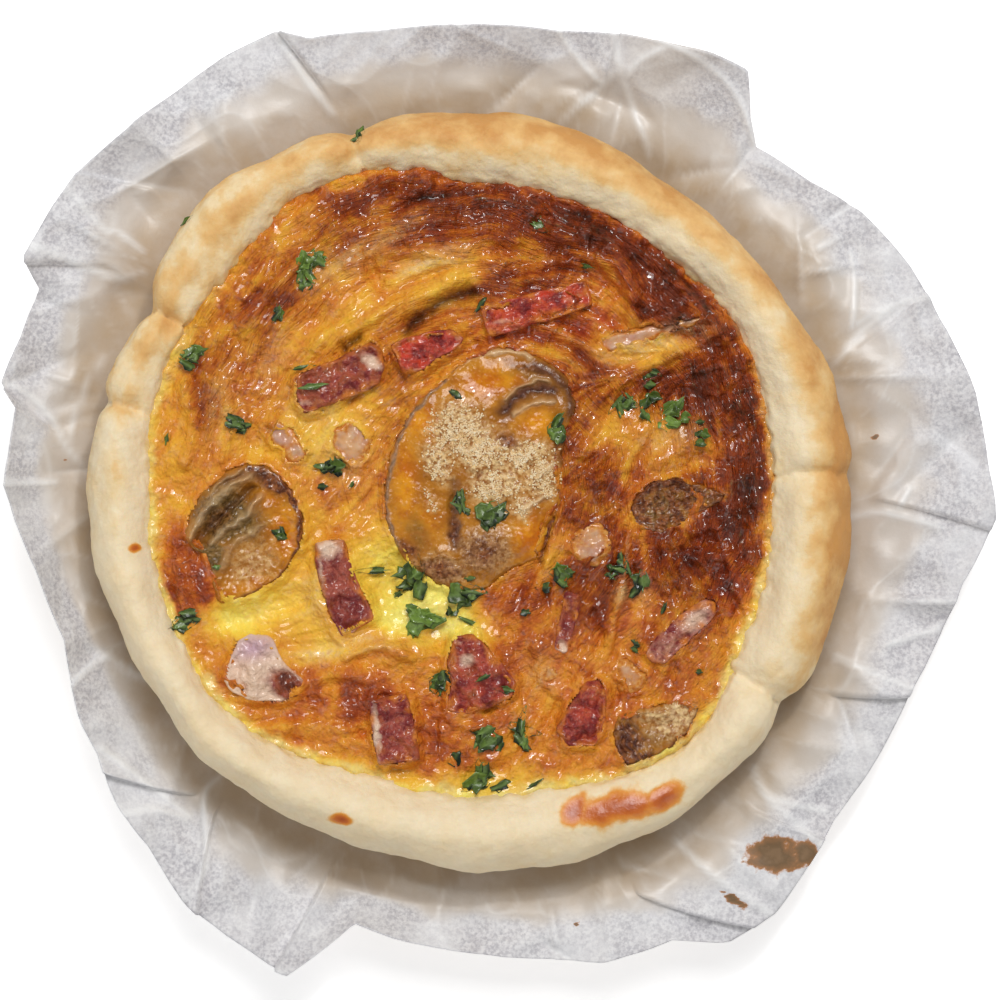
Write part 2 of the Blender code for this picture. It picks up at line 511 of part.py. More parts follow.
def build_toppings():
    """Slices and strips, each with the height of its top. Also the cutters of their pockets."""
    tops, cutters, solids = {}, [], {}
    flat = [(name, outline, out, thickness, rise) for name, outline, out, thickness, rise in SLICES]
    for name, p0, p1, p2, width0, width1, out, thickness in STRIPS:
        flat.append((name, strip_outline(p0, p1, p2, width0, width1), out, thickness, 0.3))
    for name, outline, out, thickness, rise in flat:
        top = sum(filling_z(x, y) for x, y in outline) / len(outline) + out
        solids[name] = slice_solid(name, outline, top, thickness, rise)
        cutters.append(pocket_cutter("cut_" + name, outline, top - thickness))
        tops[name] = top
    return solids, cutters, tops


def main():
    for obj in list(bpy.data.objects):
        bpy.data.objects.remove(obj)
    angles = crust_angles()
    build_paper()
    build_crust(angles)
    filling = build_filling(angles)
    solids, cutters, tops = build_toppings()
    flakes = {}
    for i, (host, *place) in enumerate(FLAKES):
        surface = filling_z if host == "filling" else (lambda x, y, z=tops.get(host): z + 0.1)
        flakes.setdefault(host, []).append(flake_solid(i, surface, *place))
    for host, group in flakes.items():
        obj = filling if host == "filling" else solids[host]
        boolean(obj, collect("flakes_" + host, group), 'UNION', 'MANIFOLD')
        keep_largest(obj)
    boolean(filling, collect("pockets", cutters), 'DIFFERENCE', 'EXACT')
    keep_largest(filling)


main()
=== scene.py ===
"""Mushroom quiche on baking paper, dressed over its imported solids.

Shapes are worked out in millimetres from above, and written to the meshes in metres.
"""
import json
import math

import bpy
import numpy as np
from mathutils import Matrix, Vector
from mathutils.bvhtree import BVHTree

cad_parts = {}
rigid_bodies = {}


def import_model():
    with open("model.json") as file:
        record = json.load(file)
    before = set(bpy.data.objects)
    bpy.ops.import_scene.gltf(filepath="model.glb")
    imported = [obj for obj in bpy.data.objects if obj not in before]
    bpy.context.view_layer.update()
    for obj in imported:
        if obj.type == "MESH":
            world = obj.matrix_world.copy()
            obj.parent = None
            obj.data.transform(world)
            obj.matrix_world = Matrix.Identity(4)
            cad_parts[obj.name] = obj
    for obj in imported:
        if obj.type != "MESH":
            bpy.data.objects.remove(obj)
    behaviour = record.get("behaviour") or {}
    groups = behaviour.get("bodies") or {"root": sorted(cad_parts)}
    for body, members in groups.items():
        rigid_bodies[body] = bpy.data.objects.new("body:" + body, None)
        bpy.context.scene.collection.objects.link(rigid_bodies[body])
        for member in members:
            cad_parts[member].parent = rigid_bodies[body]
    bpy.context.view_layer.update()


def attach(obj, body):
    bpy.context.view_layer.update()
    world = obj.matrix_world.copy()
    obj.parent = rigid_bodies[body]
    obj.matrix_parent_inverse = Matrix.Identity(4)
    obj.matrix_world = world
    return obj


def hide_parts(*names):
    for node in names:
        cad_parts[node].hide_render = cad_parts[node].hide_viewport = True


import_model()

bl_info = {
    "name": "Mushroom quiche",
    "version": (1, 0, 0),
    "blender": (4, 5, 0),
    "location": "View3D > Sidebar > Quiche",
    "description": "Builds a small mushroom quiche on baking paper, piece by piece",
    "category": "Add Mesh",
}

# Shapes shared with the solids
CENTRE = (-6, 1.9)
RIM_OUT = [
    75.6, 75.3, 73, 72.5, 72.7, 74.6, 74.9, 75, 76.9, 78.1, 73.7, 75, 75.6, 75, 74, 74.8, 74, 73.8, 75, 76.1,
    76.6, 76, 76.7, 76.2]
RIM_IN = [
    60, 60.6, 61.7, 61.2, 60.2, 60.6, 61.3, 65.2, 67, 64, 64, 64.5, 63.1, 63.8, 64.4, 64.4, 61.4, 59.5, 60.7,
    60.8, 64.1, 65, 61.7, 60.7]
RIM_LIFT = [0.8, 0.2, -0.3, 0.2, -0.4, -0.8, 0.2, 0.4, 0.6, 0.3, -0.4, 0.9]
RIM_TOP = 31.4
CREASES = [(2.6, 2, 1.7), (108.4, 2, 1.5), (150.6, 2.4, 2.3), (166.3, 1.8, 2), (325.7, 2.6, 2.4)]
BEND_OFFSET = [7, 9, 9, 7.5, 8.5, 10, 7.5, 6, 9, 9, 11, 7]
BEND_Z = [16, 17, 15, 17, 17, 16, 16, 13, 11, 14, 15, 16]
PAPER_EDGE = [
    (3.2, 103.2, 20), (11, 102.3, 21), (19.7, 99.7, 19), (27.5, 98.4, 18), (35.6, 95.8, 18), (42.2, 91.8, 18),
    (50.2, 89.4, 17), (53, 92.9, 19), (56.5, 99.8, 23), (61.1, 98.7, 24), (67, 96.6, 23), (71.8, 95.3, 20),
    (78.9, 92.9, 21), (86.3, 92.3, 22), (93.8, 92.3, 22), (101.2, 92.9, 21), (109.6, 95.1, 21),
    (113, 99.2, 19), (119, 99.4, 18), (125.2, 98.9, 19), (133.2, 98.9, 20), (140.9, 100.4, 20),
    (146.3, 100.1, 21), (152.6, 99.5, 22), (154.9, 94.6, 20), (161.3, 94.2, 21), (167, 95.3, 22),
    (169.7, 91.1, 23), (175.1, 91.4, 24), (179.1, 91.8, 24), (183, 90.4, 23), (190.4, 87.3, 22),
    (200.4, 85.7, 20), (209.9, 89.6, 19), (215.2, 90.7, 20), (221.7, 94.2, 18), (227.8, 95.7, 17),
    (235.3, 100.2, 16), (244.4, 102, 17), (249.3, 102.6, 20), (255.1, 89, 19), (261.4, 90.6, 18),
    (271.1, 92.4, 17), (280.2, 95.1, 17), (286, 97.9, 18), (294.3, 98.5, 17), (299.8, 104.1, 16),
    (306, 104.1, 17), (313.7, 99.9, 18), (317.8, 98, 17), (329.3, 97.1, 16), (335.9, 96.7, 18),
    (343.8, 98.4, 17), (349.4, 99.9, 18), (356.9, 104.8, 20)]
FOLDS = [
    (109.8, 112.6, 2.8, -1, 9, 0.15), (136.5, 141, 1.6, 1, 2, 0.4), (148, 153, 2, -1, 6, 0.2),
    (172, 167.6, 3.2, 1, 7, 0.3), (178.8, 179.1, 1.6, 1, 2.5, 0.1), (203.5, 206, 1.2, 1, 4, 0.3),
    (228, 217.6, 2.2, -1, 5, 0.5), (231.6, 237.4, 2.4, -1, 3, 0.8), (249.6, 247.8, 5, 1, 8, 0.9),
    (292.4, 303, 1.6, 1, 3.5, 0.6), (311.6, 315.6, 2, -1, 5, 0.7), (330.6, 334.8, 2.4, 1, 6, 0.5),
    (358.6, 355.6, 1.5, 1, 2.5, 0.5), (20.4, 23.4, 1.4, -1, 4, 0.3), (71.8, 71.9, 1.8, -1, 5, 0.2)]
RELIEF = [
    (-13.9, 49.1, 19.6, 53, 2.8, 1.2), (11.7, 52.1, 22.5, 49.1, 2.6, 1.2), (22.5, 49.1, 25.9, 39.3, 2.6, 1.2),
    (-6, 42, 19.6, 46.4, 3.6, 1.3), (31.4, 33.4, 46.1, 19.6, 3, 1.3), (19.6, 25, 27, 27.5, 3, 0.8),
    (-49.3, 35.3, -47, 33, 4, 1), (-59.1, 9.7, -56, 19.6, 4.5, 0.9), (-17.8, 34.9, -6.6, 40.8, 1.7, -2.6),
    (-62.1, -17.8, -61, -14, 3, 0.7), (23.5, 11.7, 19.6, 4.8, 4, 1), (37.3, -4, 47.1, -11.9, 3, 1.1),
    (-21.7, -15.8, -19, -20, 4.5, -1.5), (-11.9, -29.6, -13, -26, 3.2, -1), (-41.4, -19.8, -38, -13, 4, -1.1),
    (-50.3, -23.7, -44, -21, 2.8, -0.9), (-4, -56.2, 3.8, -53.2, 4.5, -0.8),
    (-31.6, -33.6, -15.8, -30.6, 3.6, 1), (3.8, -19.8, 7.8, -27.6, 3.6, 0.8),
    (23.5, -22.7, 25, -18, 3.6, 0.7), (39.3, 13.7, 44, 6, 6, 0.9), (-47.3, 41.2, -31.6, 55, 3, 0.9),
    (-33.6, 41.2, -15.8, 51.1, 3, 0.9), (31.4, -11.9, 39.3, -17.8, 3.2, 0.7)]

# Toppings seen from above: outline, how far the top stands out of the filling, thickness, middle's rise
SLICES = {
    "mushroom_1": ([
        (-51.3, 6.8), (-48.1, 7.4), (-45.4, 6.6), (-42.6, 4.2), (-40.3, 0.9), (-38.9, -2.1), (-38.7, -6),
        (-39.5, -9.9), (-43.4, -15.3), (-48.5, -18.6), (-53.6, -20.6), (-56, -19.8), (-56.8, -15),
        (-57.6, -11), (-61.1, -9.5), (-62.3, -7), (-61.1, -3.1), (-59.2, 0.9), (-55, 5)], 1.6, 5, -0.5),
    "mushroom_2": ([
        (14.5, 20.6), (13.7, 23.5), (10.9, 26.5), (4.8, 29.6), (-0.3, 30), (-5.6, 28), (-9.3, 25.5),
        (-12, 23.1), (-15.8, 20.2), (-18.2, 16.6), (-21.4, 9.7), (-23.1, 1.9), (-22.1, -6), (-18.8, -11.9),
        (-13.5, -15.8), (-7.6, -18.2), (-2.4, -17.6), (2, -13.6), (8, -11.9), (10.1, -6), (12.3, 0.9),
        (12.3, 6.8), (12.6, 12), (14.9, 17.6)], 1.4, 5, 0.7),
    "mushroom_3": ([
        (25.5, -1.7), (27.3, 1.5), (30.2, 3.6), (33.4, 4.4), (36.7, 3.8), (41, 2.4), (46, 1.4), (40.5, -1.8),
        (35.5, -4.8), (31, -7.2), (27.5, -6)], 1.3, 5, -0.3),
    "mushroom_4": ([
        (22.9, -42.4), (27.3, -41), (31.8, -40.1), (37.3, -38.3), (39.6, -38.4), (38.7, -42.6), (37, -45.6),
        (33.8, -48.3), (28.8, -51.2), (24.6, -52.4), (22.8, -50.3), (22.2, -46.4)], 1.9, 5.5, -0.6),
    "ham_1": ([
        (-40.1, 24.3), (-36, 26.3), (-32, 27.7), (-25.3, 31.2), (-23.1, 29.4), (-22.5, 26.3), (-23.7, 22.7),
        (-31.4, 19.2), (-38.7, 16.8), (-39.9, 20)], 2.6, 8, 0.3),
    "ham_2": ([
        (-21.4, 30.6), (-18.2, 32), (-14.3, 33), (-9.5, 33.6), (-7, 31.8), (-8.4, 29.6), (-12.5, 27.7),
        (-15.1, 25.5), (-18.6, 24.3), (-20, 26.7)], 2.8, 8, 0.2),
    "ham_6": ([
        (-9.2, -26.9), (-5.2, -26.3), (-3.1, -28.2), (0.5, -32), (3.4, -36.3), (2.3, -38.9), (-2.1, -41),
        (-7.6, -42.2), (-10.5, -41.4), (-10.1, -38.5), (-9.5, -35.7), (-10.5, -32.4)], 2.8, 8.5, 0.4),
    "ham_7": ([
        (12.5, -42), (17, -35.5), (19.6, -35.1), (20.8, -37.9), (20.8, -42.4), (19.6, -46.4), (18.4, -48.4),
        (13.3, -48.3), (10.9, -45)], 2.8, 8, 0.3),
    "ham_9": ([
        (42.4, -20), (42.6, -22.5), (37.3, -27.7), (32.2, -32.4), (30, -32), (28.2, -30.4), (30.2, -27.7),
        (34.9, -22.9), (39.9, -19.2)], 1.8, 6, 0.3),
    "ham_10": ([
        (-54.8, -35.1), (-53.2, -31.4), (-51.5, -27.7), (-48.9, -26.1), (-44.8, -26.9), (-43, -31.4),
        (-38.3, -35.7), (-38.9, -38.5), (-43.2, -39.6), (-49.3, -39.5), (-53, -37.7)], 1.9, 6, 0.5),
    "onion_1": ([
        (-33.2, 14.1), (-29.2, 15.8), (-25.3, 14.3), (-24.7, 10.5), (-26.9, 7), (-31.2, 6.2),
        (-33.8, 9.7)], 0.9, 4, 0.3),
    "onion_3": ([
        (22.3, -32.4), (24.3, -30.4), (26.5, -32), (29, -34), (29, -36.3), (27.5, -38.1), (24.3, -38.5),
        (22.5, -36.1)], 0.9, 4, 0.3),
    "onion_5": ([
        (12.9, -8.4), (15.6, -4.8), (19.6, -4), (22.3, -6.8), (21.9, -11.1), (18.4, -13.5),
        (14.8, -12.3)], 1, 4, 0.4),
}
# Strips: three points of the middle line, width at both ends, rise, thickness
STRIPS = {
    "ham_3": ((-3.2, 34.9), (5.8, 37.3), (17.6, 40.8), 6.7, 5.6, 2, 7),
    "ham_4": ((-33.6, -8), (-32.6, -16.8), (-27.7, -25.3), 6.6, 8.2, 2.3, 7),
    "ham_5": ((-22.1, -38.7), (-20.6, -45.4), (-19.8, -51.6), 8.2, 8.8, 2.9, 8.5),
    "ham_8": ((14.3, -18.2), (13.3, -24.7), (11.9, -30), 3.7, 3, 1.6, 4.5),
    "onion_2": ((19.6, 30.4), (30.4, 32.8), (42.4, 36.5), 4.6, 2, 1, 4),
    "onion_4": ((8.6, -32.8), (9.8, -34), (10.9, -35.4), 4.2, 4, 0.9, 4),
    "onion_6": ((-45.8, 16), (-41.8, 11.7), (-38.9, 7.4), 4.4, 5, 1.5, 5),
}

# Finish of the filling
# Browning of the cheese: place, half length, half width, turn in degrees, 0 custard to 1 dark brown
BROWNING = [
    (-18, 42.5, 9, 2.6, 24, 0.36), (-24, 47.5, 2.6, 4.4, 0, 0.44), (-32, 44, 4, 4, 0, 0.34),
    (-41, 52, 5, 3, 40, 0.3), (-28.5, 51.5, 6, 2.4, 30, 0.5), (-14, 52.5, 6, 3, 0, 0.62),
    (-8.5, 43.5, 4, 1.8, 30, 0.2), (-64, 8, 4, 6, 10, 0.3), (-56, 30, 5, 3, 60, 0.42),
    (-35, 33, 8, 2.4, 24, 0.26), (21.5, 40.5, 6, 5.5, -20, 0.42), (28.5, 43.5, 2, 4, 20, 0.6),
    (10, 36, 6, 2.5, 14, 0.56), (6, 42.5, 9, 2, 6, 0.66), (-3, 36, 6, 2, 20, 0.45),
    (-27, 40.5, 3.5, 3.5, 0, 0.3), (33, 47.5, 6, 3, -40, 0.97), (25, 31.5, 4, 3, 0, 0.34),
    (44.5, 33, 3, 6, 30, 0.6), (49.5, 12, 3, 8, 0, 0.88), (43, 3, 4, 2, 20, 0.62),
    (24.5, 12, 5, 3.5, 20, 0.3), (33, 6.5, 5, 2, 10, 0.42), (49, -18, 3, 4, 0, 0.6), (12, 1, 4, 3, 50, 0.42),
    (-27, -33, 6, 3, 0, 0.36), (-27, -39, 4, 3, 0, 0.7), (-41.4, 44.2, 18.7, 7.5, 50, 0.58),
    (-24.7, 56, 11.8, 5.5, 15, 0.62), (-11.9, 59.9, 8.9, 2.8, -5, 0.78), (-0.1, 60.9, 8.9, 3, -8, 0.86),
    (13.7, 56.6, 10.8, 3.9, -28, 0.84), (29.4, 46.8, 9.8, 5.1, -40, 0.92), (40.3, 35.7, 8.3, 5.1, -50, 0.82),
    (46.2, 21.6, 9.4, 4.7, -75, 0.82), (42.2, 13.7, 7.9, 5.9, -80, 0.8), (48.1, 3.8, 5.9, 3.5, -85, 0.8),
    (45.2, -9.9, 8.9, 5.5, -80, 0.85), (37.3, -11.9, 6.9, 4.3, 30, 0.72), (30.4, 39.3, 4.7, 3.1, -60, 0.92),
    (3.8, 51.5, 11.8, 1.6, -3, 0.76), (17.6, 50.7, 6.7, 2.2, -12, 0.76), (-4, 48.1, 5.9, 2.6, 0, 0.5),
    (7.8, 46, 7.9, 2.4, 5, 0.62), (21.6, 42.2, 4.7, 4.7, 0, 0.5), (-33.6, 62.9, 10.8, 2.2, 25, 0.34),
    (-30.6, 39.3, 11.8, 2.8, 25, 0.38), (-13.9, 46.8, 6.3, 2, 15, 0.22), (-39.5, 35.7, 5.9, 3.5, 45, 0.5),
    (-50.3, 33.4, 8.3, 3, 60, 0.54), (-54.8, 36.9, 10.8, 1.6, 55, 0.38), (-52.3, 25.1, 5.9, 3.9, 0, 0.45),
    (-64.7, 19.6, 8.3, 2.6, 95, 0.34), (-57.8, 19.6, 6.7, 1.8, 100, 0.64), (-61.1, 8.8, 5.9, 3.1, 30, 0.43),
    (-48.3, 19.6, 5.1, 5.1, 0, 0.4), (-49.3, 11.3, 4.7, 2.4, 0, 0.32), (-34.5, 13.7, 5.9, 5.5, 90, 0.2),
    (-30.6, 2.9, 3.5, 3.1, 0, 0.47), (-29.6, -5, 4.3, 2.6, 100, 0.38), (-22.7, -14.3, 6.7, 5.1, -40, 0.08),
    (-13.5, -22.7, 7.9, 5.9, 0, -0.08), (-51.3, -22.7, 7.1, 3, 15, -0.02), (-41.8, -19.8, 5.9, 3.9, 30, 0.18),
    (-39.1, -25.3, 5.9, 3.5, 0, 0.24), (-38.5, -10.3, 6.7, 2.4, 90, 0.26),
    (-62.1, -17.8, 7.1, 3.7, 115, 0.68), (-67.4, -4, 5.1, 1.8, 90, 0.34), (-64.7, -30.6, 6.7, 2.8, 110, 0.24),
    (-56.2, -41.8, 11.8, 2.4, -35, 0.36), (-32.6, -30, 5.9, 1.8, 10, 0.14),
    (-30.6, -37.5, 9.1, 5.1, 10, 0.56), (-35.9, -46.9, 9.4, 3.5, -12, 0.43),
    (-26.7, -53.6, 9.8, 1.6, -12, 0.26), (-20.2, -31.6, 7.1, 3.9, 0, 0.52), (-11.9, -47.7, 4.7, 4.7, 0, 0.56),
    (-0.1, -56.6, 14.8, 2.2, 0, 0.12), (8.8, -51.3, 7.1, 3.9, 0, 0.44), (-0.1, -46.4, 3.9, 3.5, 90, 0.52),
    (7.4, -37.5, 3.9, 3.5, 0, 0.42), (5.4, -27.3, 5.1, 4.7, 0, 0.54), (2.9, -20.8, 5.9, 2.6, 0, 0.6),
    (19.2, -19.8, 7.1, 4.7, 75, 0.72), (19.6, 5.8, 7.1, 3.9, 40, 0.66), (14.1, 19.6, 7.9, 3.1, 85, 0.62),
    (21.9, 23.1, 5.5, 3, 20, 0.6), (27.5, 13.3, 7.5, 3.9, 0, 0.34), (37.3, 9.7, 5.5, 2.6, 20, 0.36),
    (17.2, -0.1, 7.1, 4.3, 50, 0.58), (21.9, -8.4, 5.1, 3.9, 0, 0.62), (27.9, -20.2, 5.5, 3, 50, 0.4),
    (19.6, -30.6, 3.9, 3.5, 0, 0.46), (29.4, -39.5, 5.9, 3, 0, 0.5), (42.2, -33.2, 5.5, 3.9, 50, 0.46),
    (48.5, -25.3, 6.7, 2.6, 70, 0.3), (51.5, -14.9, 8.7, 1.6, 85, 0.3), (33, -24, 6, 5, 40, 0.52),
    (37, -36.5, 5, 2, 20, 0.5), (12, -30, 4, 6, 0, 0.5), (52.9, 7.8, 11.8, 1.2, 90, 0.5),
    (38.3, -0.5, 6.7, 1.8, 20, 0.36), (30.4, 30.4, 7.1, 2, 12, 0.2), (11.7, -9, 2.8, 2, 60, 0.34),
    (35.3, 22.5, 5.9, 3.1, 25, 0.78)]
# Other tints, laid on in the same way: red where ham lies under the cheese, cream where onion does
REDNESS = [
    (14, 33.5, 9, 2, 12, 0.9), (7, 37, 15, 5, 14, 0.75), (30, -21, 6, 4, 30, 0.4), (46, -20, 4, 5, 0, 0.5),
    (19, 34.5, 8, 2.2, 12, 0.8), (22, 41, 5, 4, 0, 0.5), (-16, 53, 5, 2, 0, 0.4), (46, -14, 4, 3, 0, 0.5),
    (7.8, 37.3, 13, 4, 14, 0.9), (-48.3, 36.3, 4, 2.5, 45, 0.4), (39.3, -8.5, 6, 4.5, 30, 0.5),
    (-42.5, 27, 5, 3, 60, 0.4), (14.5, -39, 5, 5, 0, 0.35), (19, -9, 6, 5, 0, 0.3),
    (-26.5, 42, 7, 3, 30, 0.3), (24, 3.5, 6, 3, 40, 0.3)]
CREAM = [
    (-30, 47, 8, 2.6, 25, 0.5), (-22, 51.5, 6, 2, 30, 0.5), (-55, 18, 3, 6, 0, 0.4),
    (-45, 27, 5, 3, 60, 0.35), (-26, -27.5, 5, 1.4, -10, 0.6), (-14.5, 46.8, 7, 1.8, 15, 0.8),
    (30, 31, 9, 2.4, 14, 0.7), (-33, -29.5, 7, 1.8, 10, 0.8), (-36.5, 17, 5, 4, 0, 0.5),
    (-32, 9, 6, 6, 0, 0.4), (34, 12.5, 6, 2, 20, 0.5), (-13, -23, 6, 4, 0, 0.35), (-37.5, -18, 3, 4, 0, 0.5),
    (-49, -22, 6, 2, 10, 0.3), (8, -34, 3.5, 4, 0, 0.4), (-36, -22.5, 4, 2, 0, 0.4),
    (25.5, -18.5, 3.5, 2.5, 0, 0.5)]
# Where the cheese reaches further over a topping: its name, place, half sizes, turn, and how far in mm
COVERED = [
    ("mushroom_3", 42.5, 0.6, 4.6, 4.5, 0, 5), ("mushroom_3", 27, -6.5, 3, 2, 0, 1.5),
    ("mushroom_1", -60.5, -10, 2.5, 3.5, 0, 2), ("mushroom_1", -56.5, -18.5, 3.5, 3, 0, 2.2),
    ("mushroom_2", 12.5, 7, 2.5, 5.5, 0, 2.6), ("mushroom_2", 9.5, -7, 3, 5, 0, 3),
    ("mushroom_2", -19, -11, 3, 4, 0, 1), ("mushroom_2", -14, 19.5, 4, 2, 45, 0.9),
    ("mushroom_4", 37.5, -40, 4, 2.5, 20, 1.2), ("mushroom_4", 25, -42.5, 3, 1.5, 0, 1.4),
    ("ham_1", -27, 20.5, 4.5, 1.8, 20, 1.6), ("ham_2", -13, 33, 5, 1.6, 8, 1.2),
    ("ham_2", -18.5, 25.5, 2.5, 1.5, 20, 1), ("ham_3", 16.5, 40.5, 3.6, 4, 15, 2.6),
    ("ham_3", -4, 34.5, 1.6, 3, 0, 1.4), ("ham_3", 8, 34.8, 5, 1.6, 14, 1.4),
    ("ham_3", 1, 38.5, 4, 1.5, 14, 1.2), ("ham_4", -36.2, -9.5, 1.8, 5, 0, 1.4),
    ("ham_4", -28.5, -25.5, 3.5, 1.8, 20, 1.5), ("ham_4", -29, -13, 1.4, 4, 20, 0.8),
    ("ham_5", -21.5, -38.8, 4, 1.6, 0, 1.6), ("ham_5", -16.3, -50, 1.5, 3, 0, 0.8),
    ("ham_6", -4.5, -41, 4.5, 1.5, -8, 1.2), ("ham_6", 0.5, -33, 2.5, 2, -50, 0.9),
    ("ham_7", 13, -44.5, 2, 3, 30, 0.7), ("ham_8", 15, -21, 1, 4, -10, 0.6),
    ("ham_9", 31, -31, 2.6, 2, 40, 0.6), ("ham_10", -52.5, -36.5, 4, 2.5, -30, 1.6),
    ("ham_10", -45.5, -27.5, 3, 2, -20, 1.2), ("ham_10", -39.5, -37.5, 2.5, 2, 0, 1.2),
    ("onion_1", -31.5, 7.5, 3, 2, 0, 1.6), ("onion_1", -26, 13.5, 2, 2.5, 0, 1.4),
    ("onion_2", 41.5, 36.3, 3, 2, 16, 1.2), ("onion_3", 23.5, -36.5, 2, 2.5, 0, 1.6),
    ("onion_5", 20, -11.5, 3.2, 2.5, 30, 2.2), ("onion_5", 15, -5.5, 2.5, 2, 30, 1.6),
    ("onion_6", -45, 15, 2.5, 2, -45, 1.2)]
# Ridges and hollows finer than the solid's: line, half width, height
RIDGES = [
    ([(-13.9, 46.4), (-6.4, 49.1), (-0.1, 46.8)], 1.6, 0.8),
    ([(10.7, 51.9), (19.6, 51.1), (23.9, 46.8), (25.9, 39.3)], 1.2, 1.1),
    ([(-11.9, 51.1), (3.8, 52.3), (17.6, 53.1)], 1.2, 0.7),
    ([(19.2, 29.8), (29.4, 32.2), (39.3, 36.5), (44.4, 34.2), (47.5, 29)], 1.8, 1.2),
    ([(29.4, 26.3), (39.7, 30.4)], 0.8, 0.6), ([(30.4, 24.1), (40.5, 28.2)], 0.8, 0.5),
    ([(30.4, 7.4), (39.3, 11.7), (43.6, 14.1)], 1.6, 0.8),
    ([(11.7, 5.8), (17.2, 11.7), (19.6, 20)], 1.6, 0.8),
    ([(8.8, -12.3), (12.1, -4), (18, 3.4), (23.9, 6.2)], 1.4, 0.8),
    ([(-11.9, -42.2), (-4, -44.2), (3.4, -40.6)], 1.4, 0.9),
    ([(7.4, -29.2), (8.8, -35.5), (12.9, -37.9), (16.4, -33.2), (18.4, -23.7)], 1.2, 0.8),
    ([(-36.7, -11.9), (-35.9, -19.8), (-30.6, -29.2)], 1.2, 0.8),
    ([(-27.7, 52.1), (-20.8, 54.2), (-14.3, 57.4)], 1, 0.6),
    ([(-25.3, 49.1), (-19.8, 51.1), (-13.5, 54.6)], 0.8, 0.5),
    ([(-54.2, 31.4), (-46.9, 39.3), (-39.5, 46.8)], 1.2, 0.7),
    ([(-51.3, 26.3), (-42.4, 34.9), (-33.6, 39.3)], 1.2, 0.6),
    ([(-58.2, 25.1), (-57.2, 19.6), (-58.2, 13.3)], 1.2, 0.7),
    ([(-4, 58), (11.7, 55.4), (23.5, 49.1)], 1, 0.6), ([(-5, 54.6), (7.8, 53.4), (16.6, 49.9)], 0.8, 0.5),
    ([(27.5, 49.1), (39.3, 39.3), (48.1, 25.5)], 1, 0.6),
    ([(37.3, 33.4), (43.6, 25.5), (46.2, 13.7)], 1, 0.5),
    ([(-21.8, -30.6), (-13.9, -29.6), (-7.6, -33.2)], 1.2, 0.6),
    ([(-39.5, -37.5), (-30.6, -34), (-21.4, -37.5)], 1.4, 0.7),
    ([(-45.4, -45.4), (-35.5, -43.8), (-27.3, -47.3)], 1.2, 0.6),
    ([(31.4, -9), (39.3, -6), (48.1, -4)], 1.2, 0.7), ([(33.4, -12.9), (41.6, -11.1), (48.7, -12.9)], 1, 0.5),
    ([(-36, 30.5), (-28, 35), (-18, 38.5), (-9, 43)], 2.6, 1.5),
    ([(12, 46.5), (20, 47.5), (25.5, 43), (26.5, 36)], 1.6, 1.5),
    ([(-30, 46), (-22, 49), (-12, 48)], 0.9, 0.9), ([(-33, 42.5), (-26, 44.5), (-19, 44)], 0.8, -0.8),
    ([(-24.5, 50.5), (-25.5, 46), (-24, 42)], 1.3, -1.2), ([(28, 26), (36, 30), (44, 33)], 0.7, 0.9),
    ([(31, 21.5), (38, 25), (46, 27)], 0.7, 0.7), ([(-62, 22), (-60.5, 14), (-61.5, 7)], 1.6, 1.2),
    ([(-56, 24), (-52.5, 16), (-54.5, 8)], 1.2, 0.9), ([(-30, -31), (-24, -28.5), (-17.5, -31)], 1, 1.2),
    ([(11.7, -0.1), (9.4, -7), (7.8, -12.3)], 0.6, -1.1), ([(-24.1, 44.8), (-19.4, 49.5)], 2.2, -0.8),
    ([(-22.7, -11.9), (-19.8, -19.8)], 2.8, -0.8), ([(-14.9, -27.7), (-6, -23.7)], 2.4, -0.7),
    ([(-53.2, -23.7), (-39.5, -19.8)], 2.4, -0.8), ([(27.5, 49.1), (30.4, 39.3)], 1.8, -0.5),
    ([(-30.6, 29.4), (-27.7, 31.8)], 1, -1.6), ([(43.2, -0.1), (48.1, -7)], 1.4, -0.5)]
# Way the melted cheese is drawn out: place and direction in degrees
FLOW = [
    (-41.4, 45.1, 52), (-49.2, 33.3, 58), (-25.7, 54.9, 28), (-11.9, 58.9, 5), (-0.1, 60.8, -6),
    (13.7, 55.9, -28), (27.4, 47.1, -42), (39.2, 35.3, -52), (46.1, 21.5, -72), (47.1, 3.8, -88),
    (46.1, -11.9, 105), (7.8, 46.1, 8), (19.6, 39.2, -40), (32.3, 24.5, 28), (39.2, 17.6, -80),
    (-59.1, 19.6, 95), (-63, 7.8, 60), (-62, -17.8, 110), (19.6, 5.8, 45), (15.6, -8, 55), (37.3, -11.9, -50),
    (19.6, -19.8, 75), (-31.6, -37.4, 10), (-35.5, -47.3, -12), (11.7, -39.4, 60), (-11.9, -45.3, 0),
    (-19.8, 39.2, 28)]
